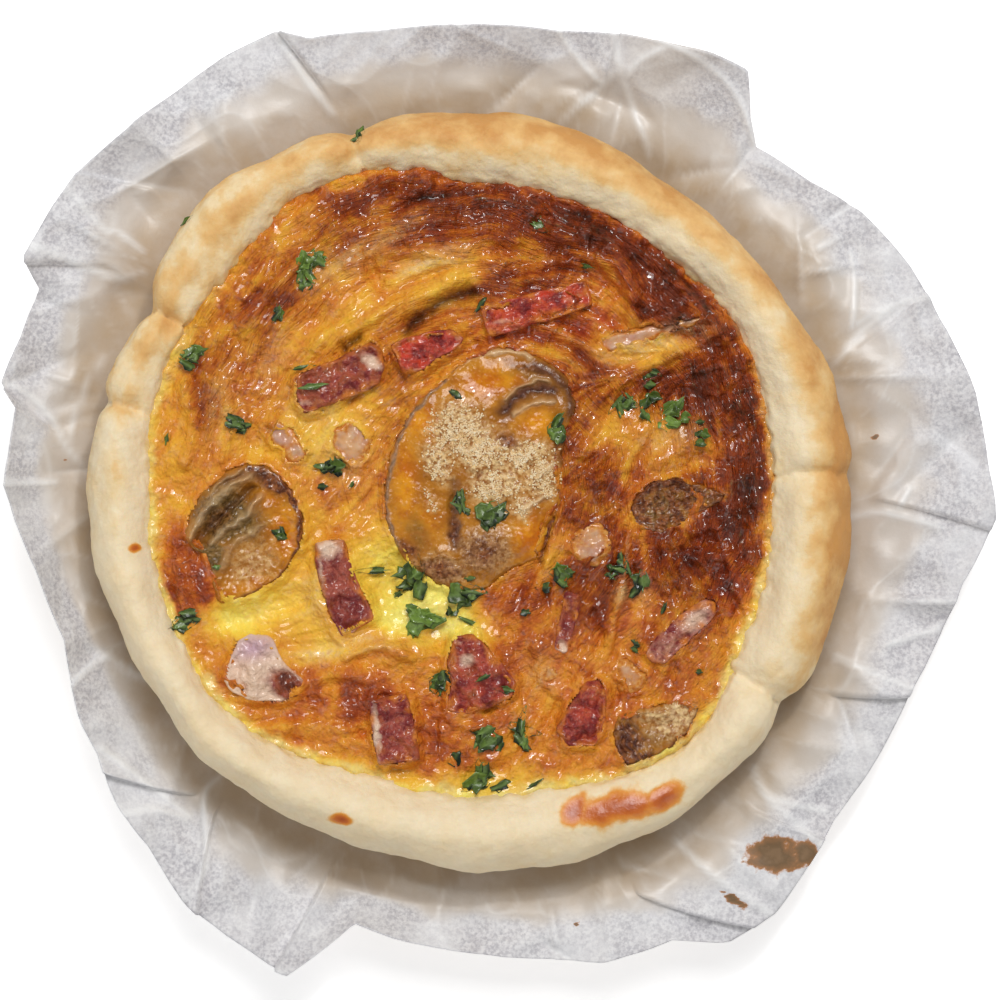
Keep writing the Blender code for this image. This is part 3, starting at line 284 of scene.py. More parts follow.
# Parsley: place, length, width, turn, 0 dark, 1 mid or 2 bright green
PARSLEY = [
    (-37.1, 47.5, 6.3, 4.3, 20, 2), (-38.6, 43.7, 5.5, 3.5, 60, 1), (-43.3, 37.1, 3.9, 2.4, -70, 0),
    (-59.9, 28, 5.1, 3.5, -20, 1), (-51.6, 14.8, 5.1, 3.9, -15, 0), (-65.8, 12.1, 2.2, 0.8, 80, 1),
    (-36.3, 22.3, 5.5, 1.6, 8, 1), (-38.4, 25.8, 3.9, 1.4, 10, 0), (-33.9, 6.4, 5.1, 4.3, -10, 0),
    (-34.9, 2.3, 2, 1.6, 0, 0), (-29.4, 2.9, 2, 1.6, 60, 0), (-42, -7.2, 3.9, 2.9, -30, 0),
    (-55.7, -13.5, 1.8, 1.2, 0, 1), (-62.2, -23.7, 6.3, 3.5, -40, 0), (-24.9, -14.3, 6.1, 1.4, 2, 1),
    (-17.4, -15.8, 7.9, 4.7, 75, 1), (-14.3, -23.1, 7.5, 5.1, 15, 2), (-6.4, -19.4, 5.9, 5.1, 40, 1),
    (-5.6, -24.5, 6.7, 1, -25, 0), (-12.5, -35.9, 5.5, 4.7, 60, 0), (-3.4, -34.5, 2.8, 1.8, 30, 0),
    (0.9, -37.1, 5.1, 1.6, -5, 0), (-2.5, -46.3, 7.1, 5.5, 50, 0), (4, -45.7, 9, 3.3, -75, 1),
    (-8.6, -51.2, 2.9, 2.4, 60, 0), (-2.3, -54.2, 7.5, 5.1, 50, 1), (-6.2, -57.1, 2.8, 1.8, 30, 0),
    (-8.7, 20.9, 2.8, 2, -35, 1), (11.7, 13.7, 5.5, 3.9, 80, 1), (-7.8, -1.1, 5.9, 2.4, -85, 0),
    (-1.7, -2.5, 7.1, 5.1, 35, 1), (8, 53.4, 4.7, 2.8, -85, 1), (16.6, 45.5, 3.9, 1.4, -5, 0),
    (-4, 38.6, 3.9, 1.2, 50, 0), (30.4, 23.9, 4.3, 3.5, -30, 0), (24.7, 18.8, 5.5, 2.9, -15, 0),
    (29.8, 19.6, 3.9, 3.5, 60, 1), (34.1, 16.6, 5.5, 4.7, 50, 2), (39.6, 12.3, 3.1, 2.8, 40, 1),
    (12.3, -15.4, 5.1, 4.3, 10, 1), (8.7, -17.4, 2.8, 2.6, 0, 0), (23.9, -13.3, 5.1, 2.4, -70, 0),
    (27.6, -16.4, 4.7, 3.9, -20, 0), (21.9, -14.3, 3.1, 1.8, -40, 0), (27, -28.6, 3.5, 2.4, -30, 0),
    (32.3, -21.1, 2.4, 1, 70, 0), (5, -22.1, 2, 1.6, 0, 0), (6.8, -55.7, 3.1, 0.8, 30, 1),
    (39.2, -33.9, 1.2, 1, 0, 0), (-20, -18.2, 3.1, 1.8, 40, 1), (-9.5, -22.1, 3.1, 2, -30, 0),
    (-6, -15.8, 2, 1.6, 0, 0), (-0.1, -48.3, 2.8, 1.6, 70, 0), (39.2, 15.6, 1.8, 1.2, 0, 1),
    (28.4, 16.6, 2.8, 1.8, -50, 0), (-28.3, 72, 3.6, 2.6, 60, 1), (-61.9, 55, 3.4, 0.9, 42, 0)]
# Creases pressed into the paper, each raised a little and painted white along it as a painted highlight
PAPER_LINES = [
    [(-44.7, 93.2), (-39.1, 84.3), (-33.5, 77.3)], [(-85.9, 61.8), (-78.9, 54), (-76.3, 53.6), (-71.6, 49.9)],
    [(-93, 50.7), (-82.3, 46.3), (-76.3, 44.3), (-71.9, 45.9)],
    [(-98.8, 23.4), (-94, 21.2), (-89.3, 16), (-86.7, 10.8), (-82.3, 5.3)],
    [(-79.3, 28.6), (-82.3, 24.2), (-84.9, 17.4), (-86.7, 10.8)], [(-97.8, 3.3), (-89.1, 3.5)],
    [(-84.5, -35.7), (-80.7, -32.3), (-78.1, -31.3)],
    [(-79.3, -49.5), (-72.9, -54.6), (-66.8, -59.8), (-62.4, -63.4)],
    [(-75.5, -62.6), (-69.4, -61.8), (-63, -63.8)],
    [(-56.4, -55.6), (-59, -58.2), (-59.4, -63.8), (-58.8, -69.4), (-59.4, -74.5), (-63, -79.3)],
    [(35.1, -68.2), (43.3, -75.5), (54.2, -82.7)], [(50.7, -53.6), (53.4, -59.4), (63.8, -68.6)],
    [(54.6, -60), (64.8, -62.2)], [(67, -31.1), (72.5, -33.7), (82.1, -37.5)], [(77.5, -28.8), (87.7, -25.6)],
    [(69.4, -3.7), (76.7, -2.5), (87.7, -5.5)], [(79.9, -0.9), (81.7, 2.3)],
    [(67, 27.4), (73.9, 35.1), (81.1, 39.7)], [(71.4, 35.1), (78.3, 38.9), (85.7, 40.3)],
    [(70, 49.3), (70.8, 43.3), (70.2, 34.7)], [(63.6, 50.3), (67.2, 52.2)], [(23.8, 85.7), (22.6, 92.8)],
    [(23.8, 85.7), (12.2, 75.9)], [(23.8, 85.7), (30, 69.6)], [(19.6, 83.5), (15.6, 87.7), (11.8, 92.8)],
    [(25.2, 84.3), (27.8, 87.3), (33.3, 89.9)],
    [(31.7, 90.9), (38.3, 87.7), (44.7, 83.1), (48.7, 76.9), (50.7, 71.4)]]
PAPER_STAINS = [
    (54.6, -70.8, 5.5, 3.6, -10, 1), (61, -70.5, 2.4, 2.6, 60, 1), (46.3, -79.7, 3.2, 0.9, -35, 0.9),
    (74.9, 12.6, 1.1, 0.7, 30, 1), (-81.7, 24.6, 0.4, 0.4, 0, 1), (-87.3, 8.3, 0.4, 0.4, 0, 1),
    (15.4, -84.7, 0.5, 0.4, 0, 1)]


# Sizes in millimetres, and counts
MM_PER_METRE = 1000.0
METRES_PER_MM = 0.001
PAPER_THICK = 0.6
PAPER_COLUMNS = 760
RANDOM_CREASES = 150
LEAF_CORNERS = 13


# Numbers: noise, lines, patches
class Noise:
    """Smooth random field in space, the same on each run."""

    def __init__(self, seed):
        rng = np.random.default_rng(seed)
        self.order = np.tile(rng.permutation(256), 3)
        way = rng.normal(size=(256, 3))
        self.way = way / np.linalg.norm(way, axis=1)[:, None]

    def __call__(self, x, y, z=0.0):
        x, y, z = np.broadcast_arrays(np.asarray(x, float), np.asarray(y, float), np.asarray(z, float))
        cell = [np.floor(c).astype(int) for c in (x, y, z)]
        inside = [c - k for c, k in zip((x, y, z), cell)]
        ease = [f * f * f * (f * (f * 6 - 15) + 10) for f in inside]
        total = np.zeros(x.shape)
        for i in (0, 1):
            for j in (0, 1):
                for k in (0, 1):
                    h = self.order[self.order[(cell[0] + i) & 255] + ((cell[1] + j) & 255)]
                    g = self.way[self.order[h + ((cell[2] + k) & 255)]]
                    dot = sum(g[..., n] * (inside[n] - at) for n, at in enumerate((i, j, k)))
                    share = (ease[0] if i else 1 - ease[0]) * (ease[1] if j else 1 - ease[1])
                    total += dot * share * (ease[2] if k else 1 - ease[2])
        return total * 1.7

    def layers(self, x, y, z=0.0, count=4, gain=0.5):
        """Sum of ever finer copies of the field."""
        total, size, weight = 0.0, 1.0, 1.0
        for i in range(count):
            spot = x * size + 7.3 * i, y * size - 3.1 * i, np.asarray(z) * size + 1.7 * i
            total = total + weight * self(*spot)
            size *= 2.03
            weight *= gain
        return total


def around(table, angle):
    """Read a closed table of evenly spaced values at angles in degrees, smoothly."""
    table = np.asarray(table, float)
    n = len(table)
    t = (np.asarray(angle, float) % 360.0) * n / 360.0
    i = np.floor(t).astype(int)
    f = t - i
    a, b, c, d = (table[(i + k) % n] for k in (-1, 0, 1, 2))
    return b + 0.5 * f * (c - a + f * (2 * a - 5 * b + 4 * c - d + f * (3 * (b - c) + d - a)))


def turn(a, b):
    """Signed angle from b to a, in degrees."""
    return (a - b + 180.0) % 360.0 - 180.0


def bell(a, at, width):
    """1 at an angle, fading to 0 on both sides, in degrees."""
    return np.exp(-(turn(a, at) / width) ** 2)


def step(low, high, value):
    """0 below low, 1 above high, smooth between."""
    t = np.clip((value - low) / (high - low), 0.0, 1.0)
    return t * t * (3.0 - 2.0 * t)


def rounded(points, parts=5, closed=False):
    """Line through the points with its corners drawn out smoothly."""
    p = np.asarray(points, float)
    n = len(p)
    spans = n if closed else n - 1
    out = []
    for i in range(spans):
        if closed:
            a, b, c, d = (p[(i + k) % n] for k in (-1, 0, 1, 2))
        else:
            a, b, c, d = p[max(i - 1, 0)], p[i], p[i + 1], p[min(i + 2, n - 1)]
        for k in range(parts):
            f = k / parts
            out.append(b + 0.5 * f * (c - a + f * (2 * a - 5 * b + 4 * c - d + f * (3 * (b - c) + d - a))))
    if not closed:
        out.append(p[-1])
    return np.array(out)


def line_distance(x, y, points):
    """Distance to a line through points, measured only close to it."""
    best = np.full(np.shape(x), 99.0)
    points = np.asarray(points, float)
    low, high = points.min(0) - 12.0, points.max(0) + 12.0
    near = (x > low[0]) & (x < high[0]) & (y > low[1]) & (y < high[1])
    px, py, d = x[near], y[near], best[near]
    for (x0, y0), (x1, y1) in zip(points, points[1:]):
        dx, dy = x1 - x0, y1 - y0
        t = np.clip(((px - x0) * dx + (py - y0) * dy) / (dx * dx + dy * dy + 1e-9), 0.0, 1.0)
        d = np.minimum(d, np.hypot(px - x0 - t * dx, py - y0 - t * dy))
    best[near] = d
    return best


def depth_inside(x, y, outline):
    """Distance to a closed outline, positive inside it and -99 far from it."""
    ring = np.vstack([outline, outline[:1]])
    low, high = outline.min(0) - 7.0, outline.max(0) + 7.0
    near = (x > low[0]) & (x < high[0]) & (y > low[1]) & (y < high[1])
    px, py = x[near], y[near]
    d = line_distance(px, py, ring)
    inside = np.zeros(px.shape, bool)
    for (x0, y0), (x1, y1) in zip(ring, ring[1:]):
        if y0 != y1:
            inside ^= ((y0 > py) != (y1 > py)) & (px < (x1 - x0) * (py - y0) / (y1 - y0) + x0)
    depth = np.full(np.shape(x), -99.0)
    depth[near] = np.where(inside, d, -d)
    return depth


def evened(outline, spread, wander, seed):
    """Closed outline with points every 0.4 mm, its corners eased and its line made a little uneven."""
    ring = np.vstack([outline, outline[:1]])
    along = np.concatenate([[0.0], np.cumsum(np.hypot(*np.diff(ring, axis=0).T))])
    n = int(along[-1] / 0.4)
    at = np.arange(n) * along[-1] / n
    p = np.stack([np.interp(at, along, ring[:, k]) for k in (0, 1)], -1)
    reach = max(1, int(spread / 0.4))
    share = np.hanning(2 * reach + 3)[1:-1]
    p = sum(w * np.roll(p, k, axis=0) for k, w in zip(range(-reach, reach + 1), share / share.sum()))
    way = np.roll(p, -1, axis=0) - np.roll(p, 1, axis=0)
    way /= np.hypot(way[:, 0], way[:, 1])[:, None] + 1e-9
    off = wander * Noise(seed).layers(p[:, 0] / 2.6, p[:, 1] / 2.6, 0, 2)
    return p + np.stack([way[:, 1], -way[:, 0]], -1) * off[:, None]


def stroke(x, y, points, width):
    """1 on a line, fading to 0 over its half width."""
    return np.exp(-(line_distance(x, y, rounded(points)) / width) ** 2)


def patch(x, y, px, py, length, width, angle):
    """1 in the middle of a turned oval, fading outward."""
    c, s = math.cos(math.radians(angle)), math.sin(math.radians(angle))
    u = ((x - px) * c + (y - py) * s) / length
    v = ((y - py) * c - (x - px) * s) / width
    return np.exp(-(u * u + v * v))


def painted(x, y, rows):
    """Strongest of several patches."""
    best = np.zeros(np.shape(x))
    for *place, value in rows:
        best = np.maximum(best, value * patch(x, y, *place))
    return best


def disc_grid(n):
    """Evenly spread grid over a unit disc: points, four-sided faces, and the points of its edge in order."""
    a = np.linspace(-1.0, 1.0, n + 1)
    gx, gy = np.meshgrid(a, a, indexing="xy")
    gx, gy = gx.ravel(), gy.ravel()
    wide = np.abs(gx) > np.abs(gy)
    with np.errstate(divide="ignore", invalid="ignore"):
        phi = np.where(wide, math.pi / 4 * gy / gx, math.pi / 2 - math.pi / 4 * gx / gy)
    r = np.where(wide, gx, gy)
    phi = np.where(np.abs(r) < 1e-12, 0.0, phi)
    u, v = r * np.cos(phi), r * np.sin(phi)
    index = np.arange((n + 1) * (n + 1)).reshape(n + 1, n + 1)
    faces = np.stack([index[:-1, :-1], index[:-1, 1:], index[1:, 1:], index[1:, :-1]], -1).reshape(-1, 4)
    edge = np.concatenate([index[0, :-1], index[:-1, -1], index[-1, :0:-1], index[:0:-1, 0]])
    return u, v, faces, edge


# Meshes
def add_piece(name, points, faces, kind, marks=None):
    """Smooth mesh from points in millimetres, with its material and its marks per point."""
    mesh = bpy.data.meshes.new(name)
    mesh.from_pydata((np.asarray(points) * METRES_PER_MM).tolist(), [], faces)
    mesh.polygons.foreach_set("use_smooth", [True] * len(mesh.polygons))
    for key, values in (marks or {}).items():
        layer = mesh.attributes.new(key, 'FLOAT', 'POINT')
        layer.data.foreach_set("value", np.broadcast_to(values, (len(points),)).astype(np.float32))
    mesh.materials.append(kind)
    mesh.validate()
    obj = bpy.data.objects.new(name, mesh)
    bpy.context.scene.collection.objects.link(obj)
    return obj


def declare(obj, slot, *nodes):
    """Puts a piece on the quiche, in the place of its solids."""
    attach(obj, "root")
    if nodes:
        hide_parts(*nodes)


def skirt(points, faces, edge, rings):
    """Closes a top below: rings of points under its edge, and a middle point under the last."""
    n = len(edge)
    points, faces, upper = [points], [faces.tolist()], np.asarray(edge)
    count = len(points[0])
    for ring in rings:
        lower = count + np.arange(n)
        points.append(ring)
        count += n
        nxt = np.roll(np.arange(n), -1)
        faces.append(np.stack([upper[nxt], upper, lower, lower[nxt]], -1).tolist())
        upper = lower
    points.append(rings[-1].mean(0)[None, :])
    nxt = np.roll(np.arange(n), -1)
    faces.append([(int(upper[j]), int(upper[i]), count) for i, j in zip(range(n), nxt)])
    return np.vstack(points), [f for group in faces for f in group]


def crease_depth(angle):
    """How deep the creases of the rim are at angles in degrees."""
    return sum(depth * bell(angle, at, width) for at, width, depth in CREASES)


def polar(angle, radius):
    """Place at an angle in degrees and a radius about the middle of the crust."""
    a = np.radians(angle)
    return CENTRE[0] + radius * np.cos(a), CENTRE[1] + radius * np.sin(a)


def angle_radius(x, y):
    """Angle in degrees and radius of a place about the middle of the crust."""
    dx, dy = x - CENTRE[0], y - CENTRE[1]
    return np.degrees(np.arctan2(dy, dx)), np.hypot(dx, dy)


def filling_base(x, y):
    """Height of the solid filling's top."""
    angle, r = angle_radius(x, y)
    edge = around(RIM_IN, angle) - r
    z = 26.6 + 0.5 * np.sin(x * 0.11 + 1.0) * np.cos(y * 0.09)
    z = z + 0.28 * np.sin(x * 0.55 + 0.4 * y) * np.sin(y * 0.47 - 0.3 * x + 2.0)
    for x0, y0, x1, y1, width, height in RELIEF:
        z = z + height * np.exp(-(line_distance(x, y, [(x0, y0), (x1, y1)]) / width) ** 2)
    return 26.0 + (z - 26.0) * np.clip((edge - 0.6) / 4.0, 0.0, 1.0)


def strip_outline(p0, p1, p2, width0, width1, ends):
    """Outline of a bent strip, its ends narrowed."""
    left, right = [], []
    for k in range(5):
        t = k / 4
        x, y = ((1 - t) ** 2 * a + 2 * t * (1 - t) * b + t * t * c for a, b, c in zip(p0, p1, p2))
        d = Vector((2 * (1 - t) * (p1[0] - p0[0]) + 2 * t * (p2[0] - p1[0]),
                    2 * (1 - t) * (p1[1] - p0[1]) + 2 * t * (p2[1] - p1[1]))).normalized()
        half = (width0 + (width1 - width0) * t) / 2 * (ends if k in (0, 4) else 1.0)
        left.append((x - d.y * half, y + d.x * half))
        right.append((x + d.y * half, y - d.x * half))
    return left + right[::-1]


def topping_shapes():
    """Outline, height of the top, thickness and middle's rise of each topping."""
    shapes = {}
    rows = [(name, *row) for name, row in SLICES.items()]
    for name, (p0, p1, p2, w0, w1, out, thick) in STRIPS.items():
        ends = 0.92 if name[:3] == "ham" else 0.72
        rows.append((name, strip_outline(p0, p1, p2, w0, w1, ends), out, thick, 0.3))
    for k, (name, outline, out, thick, rise) in enumerate(rows):
        points = np.array(outline)
        top = filling_base(points[:, 0], points[:, 1]).mean() + out
        cut = name[:3] == "ham"
        spread, wander = (1.0, 0.22) if cut else (2.0, 0.4)
        shapes[name] = (evened(points, spread, wander, 200 + k), top, thick, rise)
    return shapes


# Materials
class Tree:
    """Short calls to build a node tree."""

    def __init__(self, tree):
        self.tree = tree

    def add(self, kind, inputs=None, **settings):
        node = self.tree.nodes.new(kind)
        for key, value in settings.items():
            setattr(node, key, value)
        return self.fill(node, inputs or {})

    def fill(self, node, inputs):
        for key, value in inputs.items():
            self.put(node.inputs[key], value)
        return node

    def put(self, socket, value):
        if isinstance(value, bpy.types.NodeSocket):
            self.tree.links.new(value, socket)
        else:
            socket.default_value = value

    def math(self, operation, a, b):
        return self.add("ShaderNodeMath", {0: a, 1: b}, operation=operation).outputs[0]

    def plus(self, a, b):
        return self.math('ADD', a, b)

    def times(self, a, b):
        return self.math('MULTIPLY', a, b)

    def most(self, a, b):
        return self.math('MAXIMUM', a, b)

    def sway(self, level, value, amount):
        """Level, moved up or down by how far value is from a half."""
        return self.plus(level, self.times(self.math('SUBTRACT', value, 0.5), amount))

    def mix(self, share, a, b):
        inputs = {0: share, 6: colour(a), 7: colour(b)}
        return self.add("ShaderNodeMix", inputs, data_type='RGBA').outputs[2]

    def mark(self, name):
        return self.add("ShaderNodeAttribute", attribute_name=name).outputs["Fac"]

    def place(self):
        return self.add("ShaderNodeTexCoord").outputs["Object"]

    def range(self, value, low, high, to_low=0.0, to_high=1.0):
        return self.add("ShaderNodeMapRange", {0: value, 1: low, 2: high, 3: to_low, 4: to_high}).outputs[0]

    def ramp(self, value, stops):
        node = self.add("ShaderNodeValToRGB", {0: value})
        points = node.color_ramp.elements
        while len(points) < len(stops):
            points.new(0.5)
        for point, (position, shade) in zip(points, sorted(stops)):
            point.position = position
            point.color = colour(shade)
        return node.outputs[0]

    def group(self, name, inputs):
        node = self.tree.nodes.new("ShaderNodeGroup")
        node.node_tree = bpy.data.node_groups[name]
        return self.fill(node, inputs).outputs

    def speckle(self, place, scale, low, high):
        return self.group("Speckle", {"Vector": place, "Scale": scale, "Low": low, "High": high})

    def granules(self, place, scale, softness):
        return self.group("Granules", {"Vector": place, "Scale": scale, "Softness": softness})["Height"]

    def strands(self, place, lane, fineness, stretch):
        inputs = {"Vector": place, "Lane": lane, "Fineness": fineness, "Stretch": stretch}
        return self.group("Strands", inputs)["Height"]


def colour(value):
    """Colour with its alpha, from three or four numbers, or a socket as it is."""
    if isinstance(value, bpy.types.NodeSocket):
        return value
    value = tuple(value)
    return value if len(value) == 4 else (*value, 1.0)


def srgb(r, g, b):
    """Linear colour from the usual 0 to 255 numbers."""
    return tuple(c / 3294.6 if c <= 10.31 else ((c / 255 + 0.055) / 1.055) ** 2.4 for c in (r, g, b))


def shader_group(name, inputs, outputs, build):
    """Shared effect, built once: a place and some numbers go in, numbers come out."""
    if name in bpy.data.node_groups:
        return
    tree = bpy.data.node_groups.new(name, 'ShaderNodeTree')
    tree.interface.new_socket(name="Vector", in_out='INPUT', socket_type='NodeSocketVector')
    for key, value in inputs.items():
        socket = tree.interface.new_socket(name=key, in_out='INPUT', socket_type='NodeSocketFloat')
        socket.default_value = value
    for key in outputs:
        tree.interface.new_socket(name=key, in_out='OUTPUT', socket_type='NodeSocketFloat')
    t = Tree(tree)
    source = t.add("NodeGroupInput").outputs
    t.add("NodeGroupOutput", build(t, source))


def build_groups():
    """Effects that several materials share."""
    def noise(t, place, scale, detail, roughness):
        inputs = {"Vector": place, "Scale": scale, "Detail": detail, "Roughness": roughness}
        return t.add("ShaderNodeTexNoise", inputs).outputs["Fac"]

    def speckle(t, s):
        raw = noise(t, s["Vector"], s["Scale"], 5.0, 0.62)
        return {"Mask": t.range(raw, s["Low"], s["High"]), "Raw": raw}

    def granules(t, s):
        inputs = {"Vector": s["Vector"], "Scale": s["Scale"]}
        cells = t.add("ShaderNodeTexVoronoi", inputs, feature='SMOOTH_F1')
        bumps = t.math('SUBTRACT', 0.7, cells.outputs["Distance"])
        inputs = {0: s["Softness"], 2: bumps, 3: noise(t, s["Vector"], t.times(s["Scale"], 0.45), 4.0, 0.6)}
        return {"Height": t.add("ShaderNodeMix", inputs, data_type='FLOAT').outputs[0]}

    def strands(t, s):
        split = t.add("ShaderNodeSeparateXYZ", {"Vector": s["Vector"]}).outputs
        inputs = {"X": t.times(s["Lane"], s["Fineness"]), "Y": t.times(split["X"], s["Stretch"]),
                  "Z": t.times(split["Y"], s["Stretch"])}
        spot = t.add("ShaderNodeCombineXYZ", inputs).outputs["Vector"]
        return {"Height": noise(t, spot, 1.0, 3.0, 0.6)}

    shader_group("Strands", {"Lane": 0.0, "Fineness": 2.5, "Stretch": 250.0}, ["Height"], strands)
    shader_group("Speckle", {"Scale": 500.0, "Low": 0.4, "High": 0.6}, ["Mask", "Raw"], speckle)
    shader_group("Granules", {"Scale": 1500.0, "Softness": 0.5}, ["Height"], granules)


def new_material(name):
    """Empty material: its tree, its shader and the place on the piece."""
    mat = bpy.data.materials.new(name)
    mat.use_nodes = True
    shader = mat.node_tree.nodes["Principled BSDF"]
    t = Tree(mat.node_tree)
    return mat, t, shader, t.place()


def bump(t, shader, height, strength, distance):
    node = t.add("ShaderNodeBump", {"Strength": strength, "Distance": distance, "Height": height})
    t.put(shader.inputs["Normal"], node.outputs["Normal"])


def soft(weight, radius):
    """Light that spreads inside a piece, and how far in metres for red, green and blue."""
    return {"Subsurface Weight": weight, "Subsurface Radius": radius, "Subsurface Scale": 1.0}


def crust_material(s):
    """Pale dough, toasted, baked brown and oily in places."""
    mat, t, shader, place = new_material("Baked pastry")
    toast, baked, oil = t.mark("toast"), t.mark("baked"), t.mark("oil")
    wide = t.speckle(place, 170.0, 0.4, 0.62)
    fine = t.speckle(place, 760.0, 0.38, 0.64)
    base = t.mix(t.times(wide["Mask"], 0.55), s.dough_colour, srgb(238, 212, 166))
    base = t.mix(t.times(fine["Mask"], 0.3), base, srgb(228, 206, 166))
    level = t.sway(toast, wide["Raw"], 0.7)
    level = t.sway(level, fine["Raw"], 0.35)
    toasted = t.ramp(t.range(level, 0.45, 1.15),
                     [(0.0, srgb(234, 204, 150)), (0.5, s.toasted_colour), (1.0, srgb(206, 148, 78))])
    base = t.mix(t.range(level, 0.12, 0.6), base, toasted)
    base = t.mix(t.times(oil, 0.7), base, srgb(220, 184, 106))
    burnt = t.sway(baked, wide["Raw"], 0.9)
    brown = t.ramp(burnt, [(0.25, srgb(236, 186, 100)), (0.5, srgb(222, 140, 42)), (0.75, srgb(198, 102, 26)),
                           (1.0, srgb(170, 74, 16))])
    base = t.mix(t.range(burnt, 0.22, 0.42), base, brown)
    t.fill(shader, {"Base Color": base, "Roughness": t.range(t.most(baked, oil), 0.2, 0.7, 0.62, 0.3),
                    "Coat Weight": t.range(t.most(baked, oil), 0.3, 0.8, 0.0, 0.4), "Coat Roughness": 0.18,
                    **soft(0.12, (0.004, 0.0022, 0.001))})
    grain = t.granules(place, 900.0, 0.7)
    bump(t, shader, t.plus(grain, fine["Raw"]), 0.5, 0.0005)
    return mat


def paper_material(s):
    """Speckled paper, greasy near the crust, with painted shade beside the crust and in the opening of the
    top fold, painted highlights along its creases, and brown stains.
    """
    mat, t, shader, place = new_material("Baking paper")
    grease_and_shade, soak_and_shade, crease_highlight, stain = (t.mark(n) for n in ("grease_and_shade", "soak_and_shade", "crease_highlight", "stain"))
    cloud = t.speckle(place, 75.0, 0.35, 0.68)
    mottle = t.speckle(place, 420.0, 0.38, 0.64)
    grain = t.speckle(place, 1300.0, 0.4, 0.62)
    dry = t.mix(t.times(mottle["Mask"], 0.5), s.paper_colour, srgb(240, 240, 240))
    dry = t.mix(t.times(grain["Mask"], t.range(cloud["Raw"], 0.4, 0.6, 0.25, 0.9)), dry, srgb(160, 159, 166))
    dry = t.mix(t.times(cloud["Mask"], 0.4), dry, srgb(200, 195, 197))
    greasy = t.mix(t.times(cloud["Mask"], 0.6), s.greasy_colour, srgb(198, 188, 176))
    # Darker and browner next to the crust: grease, and painted shade
    greasy = t.mix(t.times(soak_and_shade, t.range(cloud["Raw"], 0.35, 0.6, 0.4, 0.9)), greasy, srgb(190, 168, 140))
    base = t.mix(grease_and_shade, dry, greasy)
    # White along the creases: painted highlight
    base = t.mix(t.times(crease_highlight, 0.6), base, srgb(246, 246, 245))
    edge = t.sway(stain, mottle["Raw"], 0.9)
    tint = t.ramp(edge, [(0.35, srgb(184, 122, 66)), (0.5, srgb(140, 102, 66)), (0.75, srgb(116, 90, 60)),
                         (1.0, srgb(132, 104, 74))])
    base = t.mix(t.range(edge, 0.3, 0.42), base, tint)
    t.fill(shader, {"Base Color": base, "Roughness": t.range(grease_and_shade, 0.0, 1.0, 0.55, 0.38)})
    height = t.plus(t.times(mottle["Raw"], 0.6), t.times(grain["Raw"], 0.4))
    bump(t, shader, height, t.range(grease_and_shade, 0.0, 1.0, 0.5, 0.2), 0.0004)
    return mat


def filling_material(s):
    """Custard to dark brown cheese, with streaks and glaze, painted highlights along the streak crests and
    painted shade in its crevices.
    """
    mat, t, shader, place = new_material("Browned cheese and custard")
    brown, red, cream, crevice_shade = (t.mark(n) for n in ("brown", "red", "cream", "crevice_shade"))
    lane, drawn, film, thin = (t.mark(n) for n in ("lane", "drawn", "film", "thin"))
    mid = t.speckle(place, 260.0, 0.35, 0.65)
    fine = t.speckle(place, 1000.0, 0.36, 0.64)
    hair = t.strands(place, lane, 3.0, 260.0)
    ropes = t.strands(place, lane, 0.9, 120.0)
    pulled = t.sway(t.times(t.math('SUBTRACT', hair, 0.5), 0.35), ropes, 0.2)
    level = t.plus(brown, t.times(pulled, drawn))
    level = t.sway(level, mid["Raw"], t.range(brown, 0.2, 0.6, 0.16, 0.5))
    level = t.sway(level, fine["Raw"], t.range(brown, 0.2, 0.6, 0.1, 0.3))
    base = t.ramp(level, [(0.0, s.custard_colour), (0.1, srgb(248, 216, 84)), (0.17, srgb(242, 196, 66)),
                          (0.27, srgb(234, 172, 50)), (0.42, s.cheese_colour),
                          (0.56, srgb(198, 102, 28)), (0.7, s.browned_colour), (0.86, srgb(120, 50, 22)),
                          (1.0, srgb(76, 32, 12))])
    rosy = t.ramp(level, [(0.2, srgb(232, 138, 84)), (0.5, srgb(206, 70, 32)), (0.8, srgb(146, 36, 18))])
    base = t.mix(t.times(red, t.range(mid["Raw"], 0.35, 0.6)), base, rosy)
    dusky = t.mix(fine["Mask"], srgb(128, 48, 34), srgb(168, 84, 52))
    base = t.mix(t.times(t.times(film, t.range(level, 0.5, 0.75)), 0.4), base, dusky)
    # Cream over onion, and painted highlights along the streak crests and ridges
    pale = t.mix(fine["Mask"], srgb(244, 218, 160), srgb(224, 178, 112))
    base = t.mix(t.times(cream, t.range(fine["Raw"], 0.36, 0.58)), base, pale)
    base = t.mix(t.times(thin, t.range(mid["Raw"], 0.35, 0.6, 0.15, 0.8)), base, srgb(236, 212, 136))
    # Painted shade: near-black where the cheese has crevices and grooves
    base = t.mix(crevice_shade, base, srgb(60, 24, 8))
    t.fill(shader, {"Base Color": base, "Roughness": t.range(fine["Raw"], 0.3, 0.7, 0.24, 0.5),
                    "Coat Weight": t.range(mid["Raw"], 0.4, 0.58, 0.1, 1.0), "Coat Roughness": 0.08,
                    "Specular IOR Level": 0.2, **soft(0.06, (0.003, 0.0012, 0.0004))})
    grain = t.granules(place, 1300.0, 0.55)
    height = t.plus(t.times(grain, 1.2), t.times(mid["Raw"], 1.6))
    fibres = t.plus(t.times(hair, 2.0), t.times(ropes, 2.6))
    height = t.plus(height, t.times(fibres, drawn))
    bump(t, shader, height, t.range(brown, 0.15, 0.6, 0.55, 1.0), 0.0008)
    return mat


